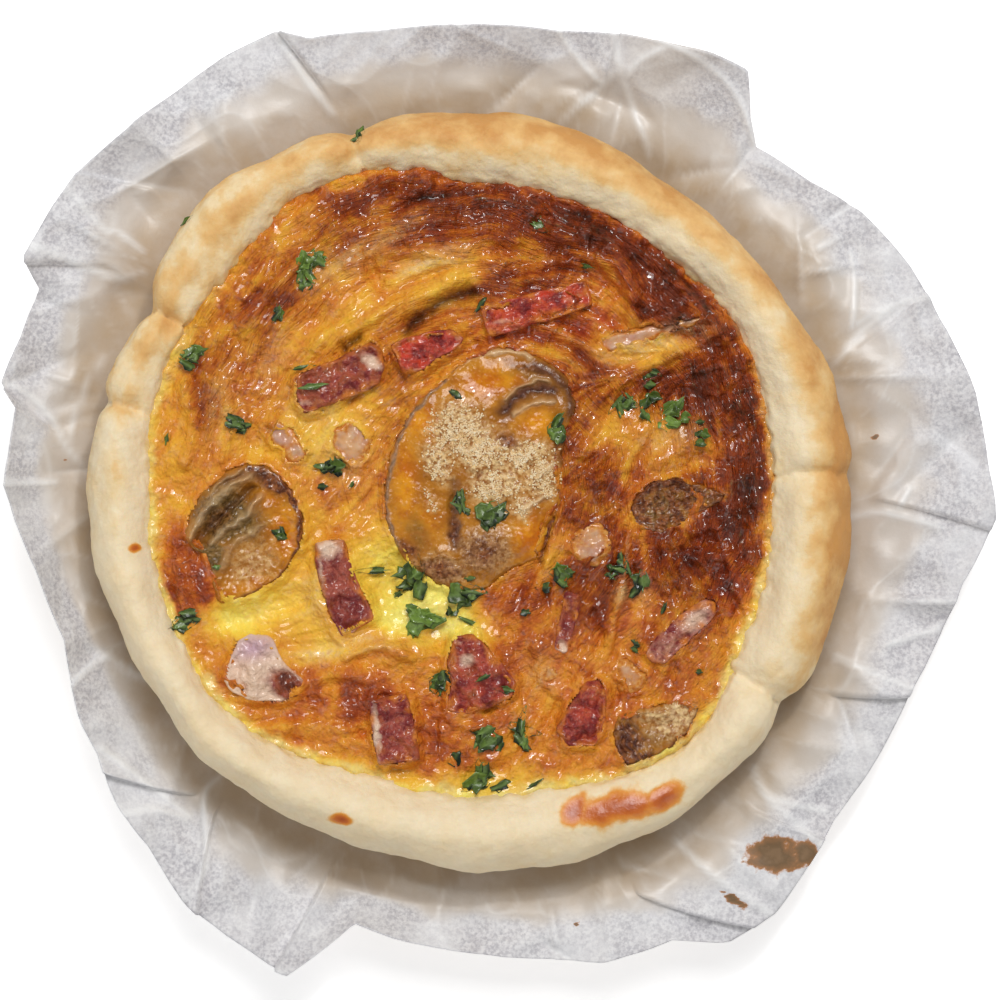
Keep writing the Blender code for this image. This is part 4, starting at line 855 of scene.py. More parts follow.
def ham_material(s):
    """Mottled meat with fat, crisp edges, a glaze of cheese and pale flecks painted as glints."""
    mat, t, shader, place = new_material("Smoked ham")
    fat, bright, cooked, glaze, lilac = (t.mark(n) for n in ("fat", "bright", "cooked", "glaze", "lilac"))
    blotch = t.speckle(place, 300.0, 0.42, 0.6)
    fine = t.speckle(place, 1600.0, 0.56, 0.72)
    dots = t.speckle(place, 900.0, 0.54, 0.66)
    meat = t.mix(blotch["Mask"], s.ham_colour, srgb(168, 80, 62))
    meat = t.mix(t.times(bright, t.range(blotch["Raw"], 0.36, 0.6)), meat, srgb(204, 58, 34))
    meat = t.mix(t.times(dots["Mask"], 0.35), meat, srgb(84, 22, 22))
    level = t.sway(cooked, blotch["Raw"], 1.2)
    crisp = t.ramp(level, [(0.4, srgb(184, 98, 48)), (0.7, srgb(132, 58, 28)), (1.0, srgb(88, 34, 20))])
    meat = t.mix(t.range(level, 0.3, 0.75), meat, crisp)
    level = t.sway(fat, blotch["Raw"], 0.8)
    meat = t.mix(t.range(level, 0.35, 0.8), meat, s.fat_colour)
    meat = t.mix(lilac, meat, srgb(190, 150, 172))
    # Pale flecks: painted glints
    meat = t.mix(t.times(fine["Mask"], 0.25), meat, srgb(230, 180, 150))
    level = t.sway(glaze, blotch["Raw"], 1.4)
    meat = t.mix(t.range(level, 0.25, 0.9), meat, t.mix(dots["Mask"], srgb(202, 116, 36), srgb(156, 70, 22)))
    t.fill(shader, {"Base Color": meat, "Roughness": t.range(fine["Raw"], 0.3, 0.7, 0.26, 0.5),
                    "Coat Weight": t.range(blotch["Raw"], 0.4, 0.6, 0.3, 0.9), "Coat Roughness": 0.13,
                    "Specular IOR Level": 0.2})
    grain = t.granules(place, 2100.0, 0.45)
    bump(t, shader, t.plus(grain, dots["Raw"]), 0.7, 0.00055)
    return mat


def mushroom_material(s):
    """Glazed flesh, gills and granular cheese, with cream that is partly painted highlight along ridges and
    folds.
    """
    mat, t, shader, place = new_material("Baked mushroom")
    gill, cream, granular = (t.mark(n) for n in ("gill", "cream", "granular"))
    dark, amber, olive = (t.mark(n) for n in ("dark", "amber", "olive"))
    blotch = t.speckle(place, 260.0, 0.4, 0.6)
    fine = t.speckle(place, 1000.0, 0.4, 0.6)
    flesh = t.mix(blotch["Mask"], s.mushroom_colour, srgb(190, 124, 34))
    flesh = t.mix(amber, flesh, t.mix(blotch["Mask"], srgb(196, 104, 4), srgb(224, 146, 14)))
    level = t.sway(olive, blotch["Raw"], 0.8)
    flesh = t.mix(t.range(level, 0.2, 0.7), flesh, t.mix(fine["Mask"], srgb(92, 66, 24), srgb(138, 104, 52)))
    level = t.sway(granular, blotch["Raw"], 1.2)
    grains = t.mix(fine["Mask"], srgb(152, 96, 40), srgb(228, 194, 138))
    flesh = t.mix(t.range(level, 0.15, 0.7), flesh, grains)
    level = t.sway(dark, blotch["Raw"], 0.9)
    flesh = t.mix(t.range(level, 0.2, 0.7), flesh, t.mix(fine["Mask"], srgb(84, 38, 14), srgb(146, 84, 40)))
    flesh = t.mix(gill, flesh, t.mix(fine["Mask"], s.gill_colour, srgb(92, 56, 48)))
    # Cream, partly painted highlight along ridges and folds
    flesh = t.mix(cream, flesh, srgb(226, 196, 152))
    t.fill(shader, {"Base Color": flesh, "Roughness": t.range(granular, 0.0, 1.0, 0.22, 0.5),
                    "Coat Weight": t.range(t.most(granular, gill), 0.0, 1.0, 0.55, 0.12),
                    "Coat Roughness": 0.09, "Specular IOR Level": 0.2,
                    **soft(0.06, (0.003, 0.0015, 0.0006))})
    grain = t.granules(place, 1300.0, 0.5)
    bump(t, shader, grain, t.range(t.most(granular, dark), 0.0, 1.0, 0.5, 1.0), 0.0008)
    return mat


def onion_material(s):
    """Veined flesh, purple skin and some cheese."""
    mat, t, shader, place = new_material("Soft onion")
    vein, purple, cover = (t.mark(n) for n in ("vein", "purple", "cover"))
    blotch = t.speckle(place, 350.0, 0.38, 0.62)
    fine = t.speckle(place, 1300.0, 0.45, 0.62)
    flesh = t.mix(blotch["Mask"], s.onion_colour, srgb(206, 148, 92))
    flesh = t.mix(t.times(vein, 0.35), flesh, srgb(236, 206, 166))
    flesh = t.mix(purple, flesh, s.onion_skin_colour)
    level = t.sway(cover, blotch["Raw"], 0.9)
    flesh = t.mix(t.range(level, 0.35, 0.7), flesh,
                  t.mix(fine["Mask"], srgb(194, 116, 40), srgb(218, 156, 78)))
    t.fill(shader, {"Base Color": flesh, "Roughness": t.range(fine["Raw"], 0.3, 0.7, 0.2, 0.42),
                    "Coat Weight": 0.6, "Specular IOR Level": 0.2, "Coat Roughness": 0.12,
                    **soft(0.15, (0.004, 0.002, 0.001))})
    grain = t.granules(place, 1100.0, 0.8)
    bump(t, shader, grain, 0.4, 0.0004)
    return mat


def parsley_material(s):
    """Dark and bright green, brighter on the painted lit half of each leaf, with pale ribs that carry a
    painted highlight.
    """
    mat, t, shader, place = new_material("Chopped parsley")
    shade, rib_and_highlight = t.mark("shade"), t.mark("rib_and_highlight")
    fine = t.speckle(place, 1400.0, 0.38, 0.64)
    leaf = t.mix(shade, s.parsley_dark, s.parsley_bright)
    leaf = t.mix(t.times(fine["Mask"], 0.45), leaf, srgb(12, 30, 6))
    leaf = t.mix(t.times(rib_and_highlight, 0.45), leaf, srgb(140, 168, 92))
    t.fill(shader, {"Base Color": leaf, "Roughness": t.range(fine["Raw"], 0.3, 0.7, 0.3, 0.55),
                    "Specular IOR Level": 0.25, "Coat Weight": 0.4, "Coat Roughness": 0.1})
    grain = t.granules(place, 1800.0, 0.6)
    bump(t, shader, grain, 0.5, 0.0004)
    return mat


def crumb_material(s):
    """Pale grains."""
    mat, t, shader, place = new_material("Grated hard cheese")
    fine = t.speckle(place, 900.0, 0.35, 0.65)
    base = t.mix(fine["Mask"], srgb(228, 188, 130), s.crumb_colour)
    t.fill(shader, {"Base Color": base, "Roughness": t.range(fine["Raw"], 0.3, 0.7, 0.4, 0.6),
                    **soft(0.15, (0.002, 0.001, 0.0005))})
    bump(t, shader, fine["Raw"], 0.4, 0.0003)
    return mat


# Settings
def tint(name, about, default):
    return bpy.props.FloatVectorProperty(name=name, description=about, default=default, subtype='COLOR',
                                         size=3, min=0.0, max=1.0)


class QuicheCrustSettings(bpy.types.PropertyGroup):
    """Pastry."""
    dough_colour: tint("Dough", "Colour of the pale pastry", srgb(242, 224, 188))
    toasted_colour: tint("Toasted", "Colour of the golden pastry", srgb(226, 180, 112))
    columns: bpy.props.IntProperty(name="Columns", description="Points round the crust", default=760, min=90,
                                   max=860)
    dimples: bpy.props.FloatProperty(name="Dimples", description="Height of the soft unevenness",
                                     default=0.00045, unit='LENGTH')


class QuichePaperSettings(bpy.types.PropertyGroup):
    """Baking paper."""
    paper_colour: tint("Paper", "Colour of the dry paper", srgb(222, 221, 223))
    greasy_colour: tint("Greasy paper", "Colour where fat has soaked in", srgb(214, 206, 198))
    thickness: bpy.props.FloatProperty(name="Thickness", description="Thickness at the paper's edge",
                                       default=0.00022, unit='LENGTH')
    crumple: bpy.props.FloatProperty(name="Crumple", description="Height of the random creases",
                                     default=0.0011, unit='LENGTH')


class QuicheFillingSettings(bpy.types.PropertyGroup):
    """Custard and melted cheese."""
    custard_colour: tint("Custard", "Colour of the unbrowned custard", srgb(250, 234, 112))
    cheese_colour: tint("Cheese", "Colour of the lightly browned cheese", srgb(222, 140, 40))
    browned_colour: tint("Browned", "Colour of the well browned cheese", srgb(158, 64, 18))
    streaks: bpy.props.FloatProperty(name="Streaks", description="Height of the drawn-out wrinkles",
                                     default=0.00056, unit='LENGTH')
    cells: bpy.props.IntProperty(name="Cells", description="Cells across", default=300, min=40, max=305)


class QuicheToppingSettings(bpy.types.PropertyGroup):
    """Ham, mushroom, onion, parsley and grated cheese."""
    ham_colour: tint("Ham", "Colour of the ham", srgb(118, 38, 38))
    fat_colour: tint("Fat", "Colour of the ham's fat", srgb(230, 198, 172))
    mushroom_colour: tint("Mushroom", "Colour of the baked mushroom", srgb(162, 100, 20))
    gill_colour: tint("Gills", "Colour of the mushroom's gills", srgb(58, 30, 28))
    onion_colour: tint("Onion", "Colour of the soft onion", srgb(202, 158, 114))
    onion_skin_colour: tint("Onion skin", "Colour of the onion's outer layer", srgb(176, 124, 128))
    parsley_dark: tint("Dark parsley", "Colour of the cooked leaves", srgb(6, 22, 5))
    # The bright colour also paints the lit half of each leaf: painted light
    parsley_bright: tint("Bright parsley", "Colour of the fresh leaves", srgb(122, 152, 58))
    crumb_colour: tint("Grated cheese", "Colour of the grated cheese", srgb(252, 234, 196))
    crumb_density: bpy.props.FloatProperty(name="Crumb density", description="Crumbs on each square metre",
                                           default=1.7e7)
    crumb_size: bpy.props.FloatProperty(name="Crumb size", description="Mean width of a crumb",
                                        default=0.00056, unit='LENGTH')


class QuicheStageSettings(bpy.types.PropertyGroup):
    """Camera, light and floor."""
    height: bpy.props.FloatProperty(name="Camera height", description="Height over the floor", default=0.75,
                                    unit='LENGTH')
    lens: bpy.props.FloatProperty(name="Lens", description="Focal length in millimetres", default=132.2)
    key: bpy.props.FloatProperty(name="Key light", description="Power of the large soft light", default=4.2,
                                 unit='POWER')
    side: bpy.props.FloatProperty(name="Side lights", description="Power of the side lights", default=0.8,
                                  unit='POWER')
    fill: bpy.props.FloatProperty(name="Fill light", description="Strength of the surrounding light",
                                  default=0.27)


# Pieces
class QUICHE_OT_paper(bpy.types.Operator):
    """Crumpled baking paper with its turned-out brim"""
    bl_idname = "quiche.paper"
    bl_label = "Baking paper"

    def execute(self, context):
        s = context.scene.quiche_paper
        folds = sorted(((i + turn(o, i) / 2) % 360.0, i, turn(o, i)) for i, o, *_ in FOLDS)
        anchors, shifts = [], []
        for k, (mid, _, shift) in enumerate(folds):
            nxt = folds[(k + 1) % len(folds)][0] + (360.0 if k + 1 == len(folds) else 0.0)
            anchors.append(mid)
            shifts.append(shift)
            if nxt - mid > 16.0:
                anchors += [mid + 7.0, nxt - 7.0]
                shifts += [0.0, 0.0]
        even = np.arange(PAPER_COLUMNS) * 360.0 / PAPER_COLUMNS
        at_folds = np.array([mid + k for mid, _, _ in folds for k in (-0.12, 0.12)]) % 360.0
        apart = np.min(np.abs(turn(even[:, None], at_folds[None, :])), axis=1)
        mids = np.sort(np.concatenate([even[apart > 0.3], at_folds]))
        order = np.argsort(np.array(anchors) % 360.0)
        shift = np.interp(mids, (np.array(anchors) % 360.0)[order], np.array(shifts)[order], period=360.0)
        inner, outer = mids - shift / 2, mids + shift / 2

        table = np.array(sorted(PAPER_EDGE), float)
        r_edge = np.interp(outer % 360.0, table[:, 0], table[:, 1], period=360.0)
        z_edge = np.interp(outer % 360.0, table[:, 0], table[:, 2], period=360.0)
        r_bend = around(RIM_OUT, inner) + around(BEND_OFFSET, inner)
        z_bend = around(BEND_Z, inner)
        # Rings: along the floor, up the wall, over the bend and out to the edge
        flat = 0 * r_bend
        knots_r = [flat + 20.0, flat + 58.4, flat + 60.3, 63.0 + 0.1 * (r_bend - 78.0), r_bend - 5.0, r_bend]
        knots_z = [flat + PAPER_THICK, flat + PAPER_THICK, flat + 1.7, 0.42 * z_bend, z_bend - 1.9, z_bend]
        rings_a, rings_r, rings_z, rings_t = [], [], [], []
        for k, parts in enumerate((2, 2, 6, 8, 5)):
            for f in np.arange(0.0, 1.0, 1.0 / parts):
                rings_r.append(knots_r[k] + (knots_r[k + 1] - knots_r[k]) * f)
                rings_z.append(knots_z[k] + (knots_z[k + 1] - knots_z[k]) * f)
                rings_a.append(inner)
                rings_t.append(-1.0 + (k + f - 2.0) / 3.0)
        for t in np.linspace(0.0, 1.0, 34):
            angle = inner + turn(outer, inner) * t
            rise = np.zeros_like(angle)
            for i, o, high, side, reach, left in FOLDS:
                d = side * turn(angle, i + turn(o, i) * t)
                fall = np.exp(-np.maximum(d, 0.0) / reach)
                rise += np.where(d > 0.0, high * (left + (1.0 - left) * t) * fall, 0.0)
            rise -= 4.0 * np.maximum(0.0, 1.0 - np.abs(turn(angle, 70.5)) / 8.5 - t / 0.55)
            ripple = 0.35 * np.sin(np.radians(angle) * 31) * t
            rings_a.append(angle)
            rings_r.append(r_bend + (r_edge - r_bend) * t)
            rings_z.append(z_bend + (z_edge - z_bend) * t ** 1.3 + rise + ripple)
            rings_t.append(t)
        a, r, z = np.array(rings_a), np.array(rings_r), np.array(rings_z)
        t = np.array(rings_t)[:, None] + 0 * a
        # The bend is soft: even it out a little along each column
        for _ in range(3):
            z[6:-1] = 0.25 * z[5:-2] + 0.5 * z[6:-1] + 0.25 * z[7:]
            r[6:-1] = 0.25 * r[5:-2] + 0.5 * r[6:-1] + 0.25 * r[7:]
        x, y = polar(a, r)
        free = step(-0.9, 0.1, t)
        rng = np.random.default_rng(5)
        crumple, pale = np.zeros_like(x), np.zeros_like(x)
        for _ in range(RANDOM_CREASES):
            place, reach = rng.uniform(0, 360), rng.uniform(70, 98)
            cx, cy = polar(place, reach)
            way = math.radians(place + rng.normal(0, 38))
            along = (x - cx) * math.cos(way) + (y - cy) * math.sin(way)
            across = -(x - cx) * math.sin(way) + (y - cy) * math.cos(way)
            length, width, high = rng.uniform(4, 13), rng.uniform(0.9, 3.4), rng.normal(0, 1.0)
            window = np.exp(-(along / length) ** 2)
            crumple += high * window * np.exp(-np.abs(across) / width)
            # Pale along the line of each random crease: painted highlight
            pale = np.maximum(pale, abs(high) * 0.35 * window * np.exp(-(across / 0.5) ** 2))
        noise = Noise(11)
        crumple = np.clip(crumple, -2.2, 2.2) * s.crumple * MM_PER_METRE
        facet = Noise(12)
        crumple -= 2.6 * np.abs(facet(x / 24, y / 24, 1)) + 1.4 * np.abs(facet(x / 11, y / 11, 5)) - 0.8
        crumple += 0.15 * noise.layers(x / 6, y / 6, z / 6, 3)
        # Pale along the crests between the crumpled facets: painted highlight
        pale = np.maximum(pale, 0.4 * np.exp(-(facet(x / 24, y / 24, 1) / 0.016) ** 2))
        pale = np.maximum(pale, 0.3 * np.exp(-(facet(x / 11, y / 11, 5) / 0.03) ** 2))
        z = z + free * crumple
        line = np.zeros_like(x)
        for points in PAPER_LINES:
            line = np.maximum(line, stroke(x, y, points, 0.75))
        z = z + free * 0.5 * line
        spread = t + 0.2 * noise.layers(x / 11 + 5, y / 11, 0, 4) - 0.1 * np.cos(np.radians(a - 70))
        grease_and_shade = 1.0 - step(0.08, 0.5, spread)
        # Out at 66 degrees, in the opening between two flaps, the greasy beige is laid on as painted shade
        grease_and_shade = np.maximum(grease_and_shade, 0.75 * step(0.9, 1.0, 1.0 - np.abs(turn(a, 66.0)) / 90.0) * (t > 0.3))
        wobble = 0.8 * noise(x / 1.6, y / 1.6)
        stain = painted(x + wobble, y + wobble, PAPER_STAINS)
        thick = PAPER_THICK + (s.thickness * MM_PER_METRE - PAPER_THICK) * step(-0.9, 0.2, t)
        dr, dz = np.gradient(r, axis=0), np.gradient(z, axis=0)
        size = np.hypot(dr, dz) + 1e-9
        under_x, under_y = polar(a, r + thick * dz / size)
        under_z = np.maximum(z - thick * dr / size, 0.0)
        under_z[:4] = 0.0
        rows, cols = x.shape
        top = np.stack([x, y, z], -1).reshape(-1, 3)
        low = np.stack([under_x, under_y, under_z], -1).reshape(-1, 3)
        index = np.arange(rows * cols).reshape(rows, cols)
        nxt = np.roll(index, -1, axis=1)
        faces = np.stack([index[:-1], index[1:], nxt[1:], nxt[:-1]], -1).reshape(-1, 4)
        back = faces[:, ::-1] + rows * cols
        rim = np.stack([index[-1], index[-1] + rows * cols, nxt[-1] + rows * cols, nxt[-1]], -1)
        count = 2 * rows * cols
        middle = [(int(index[0, i]), int(nxt[0, i]), count) for i in range(cols)]
        middle += [(int(nxt[0, i]) + rows * cols, int(index[0, i]) + rows * cols, count + 1)
                   for i in range(cols)]
        points = np.vstack([top, low, [(*CENTRE, PAPER_THICK), (*CENTRE, 0.0)]])
        # Darker brown paper right beside the crust: grease, and painted shade where the rim's shadow falls
        soak_and_shade = 1.0 - step(-0.35, 0.25, t + 0.12 * noise.layers(x / 9, y / 9, 3, 3))
        # Painted highlight along the pressed and random creases
        crease_highlight = np.maximum(line, np.clip(pale, 0, 1)) * free
        marks = {"grease_and_shade": grease_and_shade, "soak_and_shade": soak_and_shade, "crease_highlight": crease_highlight, "stain": stain}
        marks = {key: np.concatenate([v.ravel(), v.ravel(), [v[0, 0]] * 2]) for key, v in marks.items()}
        faces = np.vstack([faces, back, rim]).tolist() + middle
        sheet = add_piece("baking_paper_sheet", points, faces, paper_material(s), marks)
        declare(sheet, "baking_paper", "baking_paper")
        return {'FINISHED'}


class QUICHE_OT_crust(bpy.types.Operator):
    """Pale pastry case with its rolled rim"""
    bl_idname = "quiche.crust"
    bl_label = "Crust"

    def execute(self, context):
        s = context.scene.quiche_crust
        n = s.columns
        angle = np.arange(n) * 360.0 / n
        dip = crease_depth(angle)
        r_out = around(RIM_OUT, angle) + 0.25 * np.sin(np.radians(angle) * 23)
        r_in = around(RIM_IN, angle)
        width = r_out - r_in
        top = RIM_TOP + around(RIM_LIFT, angle) - dip + 0.2 * np.sin(np.radians(angle) * 17 + 1)
        one = np.ones_like(angle)
        profile = [(57.0 * one, 0.9 * one), (59.0 * one, 2.4 * one), (62.6 * one, 10.0 * one),
                   (r_out - 8.0, 17.8 * one),
                   (r_out - 3.0 - 0.4 * dip, 18.8 * one), (r_out - 0.7 - 0.5 * dip, 21.2 * one),
                   (r_out - 0.6 * dip, 24.0 * one),
                   (r_out - 0.12 * width - 0.4 * dip, 27.8 - 0.4 * dip), (r_out - 0.30 * width, top - 1.0),
                   (r_out - 0.48 * width, top), (r_out - 0.70 * width, top - 0.8),
                   (r_in + 0.1 * width, 28.6 - 0.2 * dip),
                   (r_in, 26.6 * one), (r_in - 1.2, 23.0 * one), (55.0 * one, 5.9 * one)]
        parts = (3, 8, 9, 6, 5, 6, 10, 10, 9, 9, 11, 7, 4, 3)
        rings, where = [], []
        p = np.array(profile)
        for k, count in enumerate(parts):
            b, c = p[k], p[k + 1]
            a, d = p[max(k - 1, 0)], p[min(k + 2, len(p) - 1)]
            for f in np.arange(count) / count:
                smooth = b + 0.5 * f * (c - a + f * (2 * a - 5 * b + 4 * c - d + f * (3 * (b - c) + d - a)))
                rings.append(smooth if 2 <= k <= 12 else b + (c - b) * f)
                where.append(k + f)
        rings.append(p[-1])
        where.append(14.0)
        rings = np.array(rings)
        where = np.array(where)[:, None] + 0 * angle
        r, z = rings[:, 0], rings[:, 1]
        dr, dz = np.gradient(r, axis=0), np.gradient(z, axis=0)
        size = np.hypot(dr, dz) + 1e-9
        out_r, out_z = dz / size, -dr / size
        a = angle[None, :] + 0 * r
        x, y = polar(a, r)
        noise, other = Noise(3), Noise(8)
        shown = step(0.5, 2.0, where) * (1.0 - step(12.6, 13.4, where))
        lump = noise.layers(x / 13, y / 13, z / 13, 2) + 0.5 * other.layers(x / 4.5, y / 4.5, z / 4.5, 2)
        lump *= s.dimples * MM_PER_METRE
        lump += 0.05 * other.layers(x / 1.1, y / 1.1, z / 1.1, 2)
        lump += 0.5 * step(10.5, 12.0, where) * noise.layers(x / 3.2 + 9, y / 3.2, z / 3.2, 3)
        # Sharp middle of each crease, and smaller tucks beside them
        tuck = sum(d * np.exp(-np.abs(turn(a, at + 0.8 * noise(z / 3, at))) / 0.5) for at, _, d in CREASES)
        tuck += 0.9 * stroke(x, y, [(-4.8, 70.0), (-3.4, 71.2), (-3.0, 73.2)], 0.5)
        tuck += 0.8 * stroke(x, y, [(45.0, -35.4), (48.0, -37.2), (51.0, -36.4), (56.8, -38.3)], 0.7)
        tuck += 0.5 * stroke(x, y, [(49.5, -34.0), (53.0, -35.0), (55.0, -33.5)], 0.6)
        lump -= 0.55 * tuck * step(5.0, 7.0, where)
        r = r + shown * lump * out_r
        z = z + shown * lump * out_z
        x, y = polar(a, r)
        outer = 1.0 - step(6.5, 9.8, where)
        sunny = np.clip(np.cos(np.radians(a - 35)), 0, 1) ** 0.7
        toast = 0.22 + 0.58 * sunny * step(4.0, 6.0,
                                           where) * (0.35 + 0.65 * outer) * (1 - step(11, 12.4, where))
        toast += 0.3 * bell(a, 78, 34) * step(5.0, 7.0, where) * (1 - step(11, 12.4, where))
        toast += (0.75 * bell(a, 140, 36) * (0.6 + 0.4 * step(8.0, 10.5, where))
                  + 0.6 * bell(a, -8, 24) * (0.4 + 0.6 * outer))
        toast += 0.2 * bell(a, 95, 20) + 0.12 * bell(a, 160, 12)
        toast -= 0.35 * bell(a, -42, 18) + 0.3 * bell(a, 250, 50)
        toast += 0.34 * noise.layers(x / 8, y / 8, z / 8, 4) + 0.14 * (z > 29) * other(x / 6, y / 6)
        toast -= 0.5 * step(8.8, 10.6, where) + 0.05 * (1.0 - sunny)
        toast = np.where(where < 4.0, 0.5 + 0.2 * noise.layers(x / 9, y / 9, z / 9, 3), toast)
        wob = 0.35 * other(x / 3.0, y / 3.0)
        baked = painted(x + wob, y + wob, [(23.4, -60.2, 9.5, 3.0, 9, 1.0), (14.6, -60.8, 3.4, 2.4, 60, 0.95),
                                           (31.8, -58.4, 4.4, 2.6, 30, 1.0),
                                           (-31.1, -62.6, 2.4, 1.3, -8, 1.0),
                                           (-71.6, -9.5, 1.0, 0.8, 0, 0.85)]) * step(5.0, 6.5, where)
        oil = step(11.2, 12.2, where + 0.5 * other.layers(x / 3, y / 3, 0, 2))
        marks = {"toast": toast, "baked": baked, "oil": oil * (0.55 + 0.45 * noise(x / 7, y / 7))}
        rows, cols = r.shape
        points = np.stack([x, y, z], -1).reshape(-1, 3)
        index = np.arange(rows * cols).reshape(rows, cols)
        nxt = np.roll(index, -1, axis=1)
        faces = np.stack([index[:-1], nxt[:-1], nxt[1:], index[1:]], -1).reshape(-1, 4).tolist()
        count = rows * cols
        faces += [(int(nxt[0, i]), int(index[0, i]), count) for i in range(cols)]
        faces += [(int(index[-1, i]), int(nxt[-1, i]), count + 1) for i in range(cols)]
        points = np.vstack([points, [(*CENTRE, 0.9), (*CENTRE, 5.9)]])
        marks = {k: np.concatenate([v.ravel(), [0.4, 0.4]]) for k, v in marks.items()}
        declare(add_piece("pastry_case", points, faces, crust_material(s), marks), "crust", "crust")
        return {'FINISHED'}


class QUICHE_OT_filling(bpy.types.Operator):
    """Custard under melted, browned cheese"""
    bl_idname = "quiche.filling"
    bl_label = "Filling"

    # Per kind of topping: how far the cheese reaches over its edge, how unevenly, and how far below its top
    COVER = {"ham": (0.3, 1.3, 0.2), "mus": (0.15, 1.1, 0.12), "oni": (0.5, 1.3, 0.0)}

    def flow(self, x, y):
        """Direction of the drawn-out cheese, in radians."""
        cos2, sin2 = np.zeros_like(x), np.zeros_like(x)
        for px, py, way in FLOW:
            weight = 1.0 / ((x - px) ** 2 + (y - py) ** 2 + 20.0)
            cos2 += weight * math.cos(2 * math.radians(way))
            sin2 += weight * math.sin(2 * math.radians(way))
        return 0.5 * np.arctan2(sin2, cos2) + 0.45 * self.bend(x / 7.0, y / 7.0)

    def streaks(self, x, y, size, steps, stride, seed):
        """Random field smeared along the flow."""
        noise = Noise(seed)
        total = noise(x / size, y / size)
        for sign in (1, -1):
            px, py = x.copy(), y.copy()
            for k in range(steps):
                way = self.flow(px, py)
                if k == 0:
                    dx, dy = sign * np.cos(way), sign * np.sin(way)
                else:
                    nx, ny = np.cos(way), np.sin(way)
                    same = np.where(nx * dx + ny * dy < 0, -1.0, 1.0)
                    dx, dy = nx * same, ny * same
                px, py = px + stride * dx, py + stride * dy
                total += noise(px / size, py / size)
        return total / math.sqrt(2 * steps + 1) * 0.9

    def execute(self, context):
        s = context.scene.quiche_filling
        shapes = topping_shapes()
        u, v, faces, edge = disc_grid(s.cells)
        angle = np.degrees(np.arctan2(v, u))
        self.bend = Noise(21)
        noise, other, third = Noise(31), Noise(32), Noise(33)
        reach = around(RIM_IN, angle) + 1.7 + 0.8 * noise(angle / 9.0, 0.3) + 0.4 * noise(angle / 2.2, 4.3)
        r = np.hypot(u, v) * reach
        x, y = polar(angle, r)
        inside = around(RIM_IN, angle) - r
        # Browning by region, its borders broken up
        wx = x + 1.5 * noise.layers(x / 6, y / 6, 0, 3)
        wy = y + 1.5 * other.layers(x / 6, y / 6, 4, 3)
        total, brown = np.full(x.shape, 0.12), np.full(x.shape, 0.12 * 0.46)
        for px, py, length, width, way, value in BROWNING:
            weight = patch(wx, wy, px, py, length, width, way) ** 0.8 * (40.0 / (length * width)) ** 0.4
            total += weight
            brown += weight * value
        brown = brown / total
        strength = step(0.25, 0.7, brown)
        drawn = 0.2 + 0.8 * step(-34.0, 6.0, y + 0.5 * x)
        drawn = drawn * (0.25 + 0.75 * strength)
        lane = angle_radius(x, y)[1] + 3.4 * noise(x / 17, y / 17, 1) + 1.2 * other(x / 9, y / 9, 2)
        thin = self.streaks(x, y, 0.85, 8, 0.42, 41)
        wide = self.streaks(x, y, 2.1, 8, 0.9, 42)
        grain = third.layers(x / 0.9, y / 0.9, 0, 2)
        z = filling_base(x, y)
        bent_x, bent_y = x + 0.5 * noise(x / 2, y / 2), y + 0.5 * noise(x / 2, y / 2, 5)
        for points, width, height in RIDGES:
            z += height * 1.45 * stroke(bent_x, bent_y, points, width)
        z += s.streaks * MM_PER_METRE * (0.35 + 0.75 * drawn) * (thin + 1.9 * wide)
        puddle = other.layers(x / 4.6, y / 4.6, 6, 3)
        crest = 1.0 - np.abs(noise.layers(x / 5.5, y / 5.5, 4, 2)) * 3.0
        z += ((0.45 + 0.45 * strength) * noise.layers(x / 5.6, y / 5.6, 0, 3)
              + 0.35 * (1.0 - drawn) * np.abs(puddle))
        z += 0.9 * noise(x / 12, y / 12, 20) + 0.04 * grain
        z += 0.9 * np.clip(crest, 0, 1) ** 2 * (0.2 + 0.8 * strength)
        # Blisters set in the custard
        blister = np.clip(other.layers(x / 2.6, y / 2.6, 9, 2) - 0.25, 0, 1)
        z += 0.7 * blister * strength
        # Crests of the wide wrinkles painted paler and their valleys browner: painted highlight and painted
        # shade
        brown += 0.14 * (thin * 0.8 - wide) * (0.2 + 0.8 * drawn)
        high = noise.layers(x / 5.2, y / 5.2, 0, 4)
        brown += 0.13 * np.clip(high + 0.05, -0.5, 0.9) * (0.15 + 0.85 * strength)
        brown += 0.13 * noise.layers(x / 7.5, y / 7.5, 2,
                                     4) * (0.4 + 0.6 * strength) + 0.12 * blister * strength
        wx, wy = x + 0.6 * other.layers(x / 1.8, y / 1.8, 3,
                                        2), y + 0.6 * noise.layers(x / 1.8, y / 1.8, 3, 2)
        # Painted shade, near-black, in the hollow beside ham_2 and in two grooves, where shade falls
        crevice_shade = 0.85 * stroke(wx, wy, [(-18.2, 33.4), (-14.9, 36.9), (-9.9, 39.9), (-5.2, 41.2)], 1.2)
        crevice_shade = np.maximum(crevice_shade, 0.8 * stroke(wx, wy, [(-30.6, 29.6), (-27.7, 31.8)], 0.8))
        crevice_shade = np.maximum(crevice_shade, 0.6 * stroke(wx, wy, [(11.7, -0.1), (9.4, -7.0), (7.8, -12.3)], 0.4))
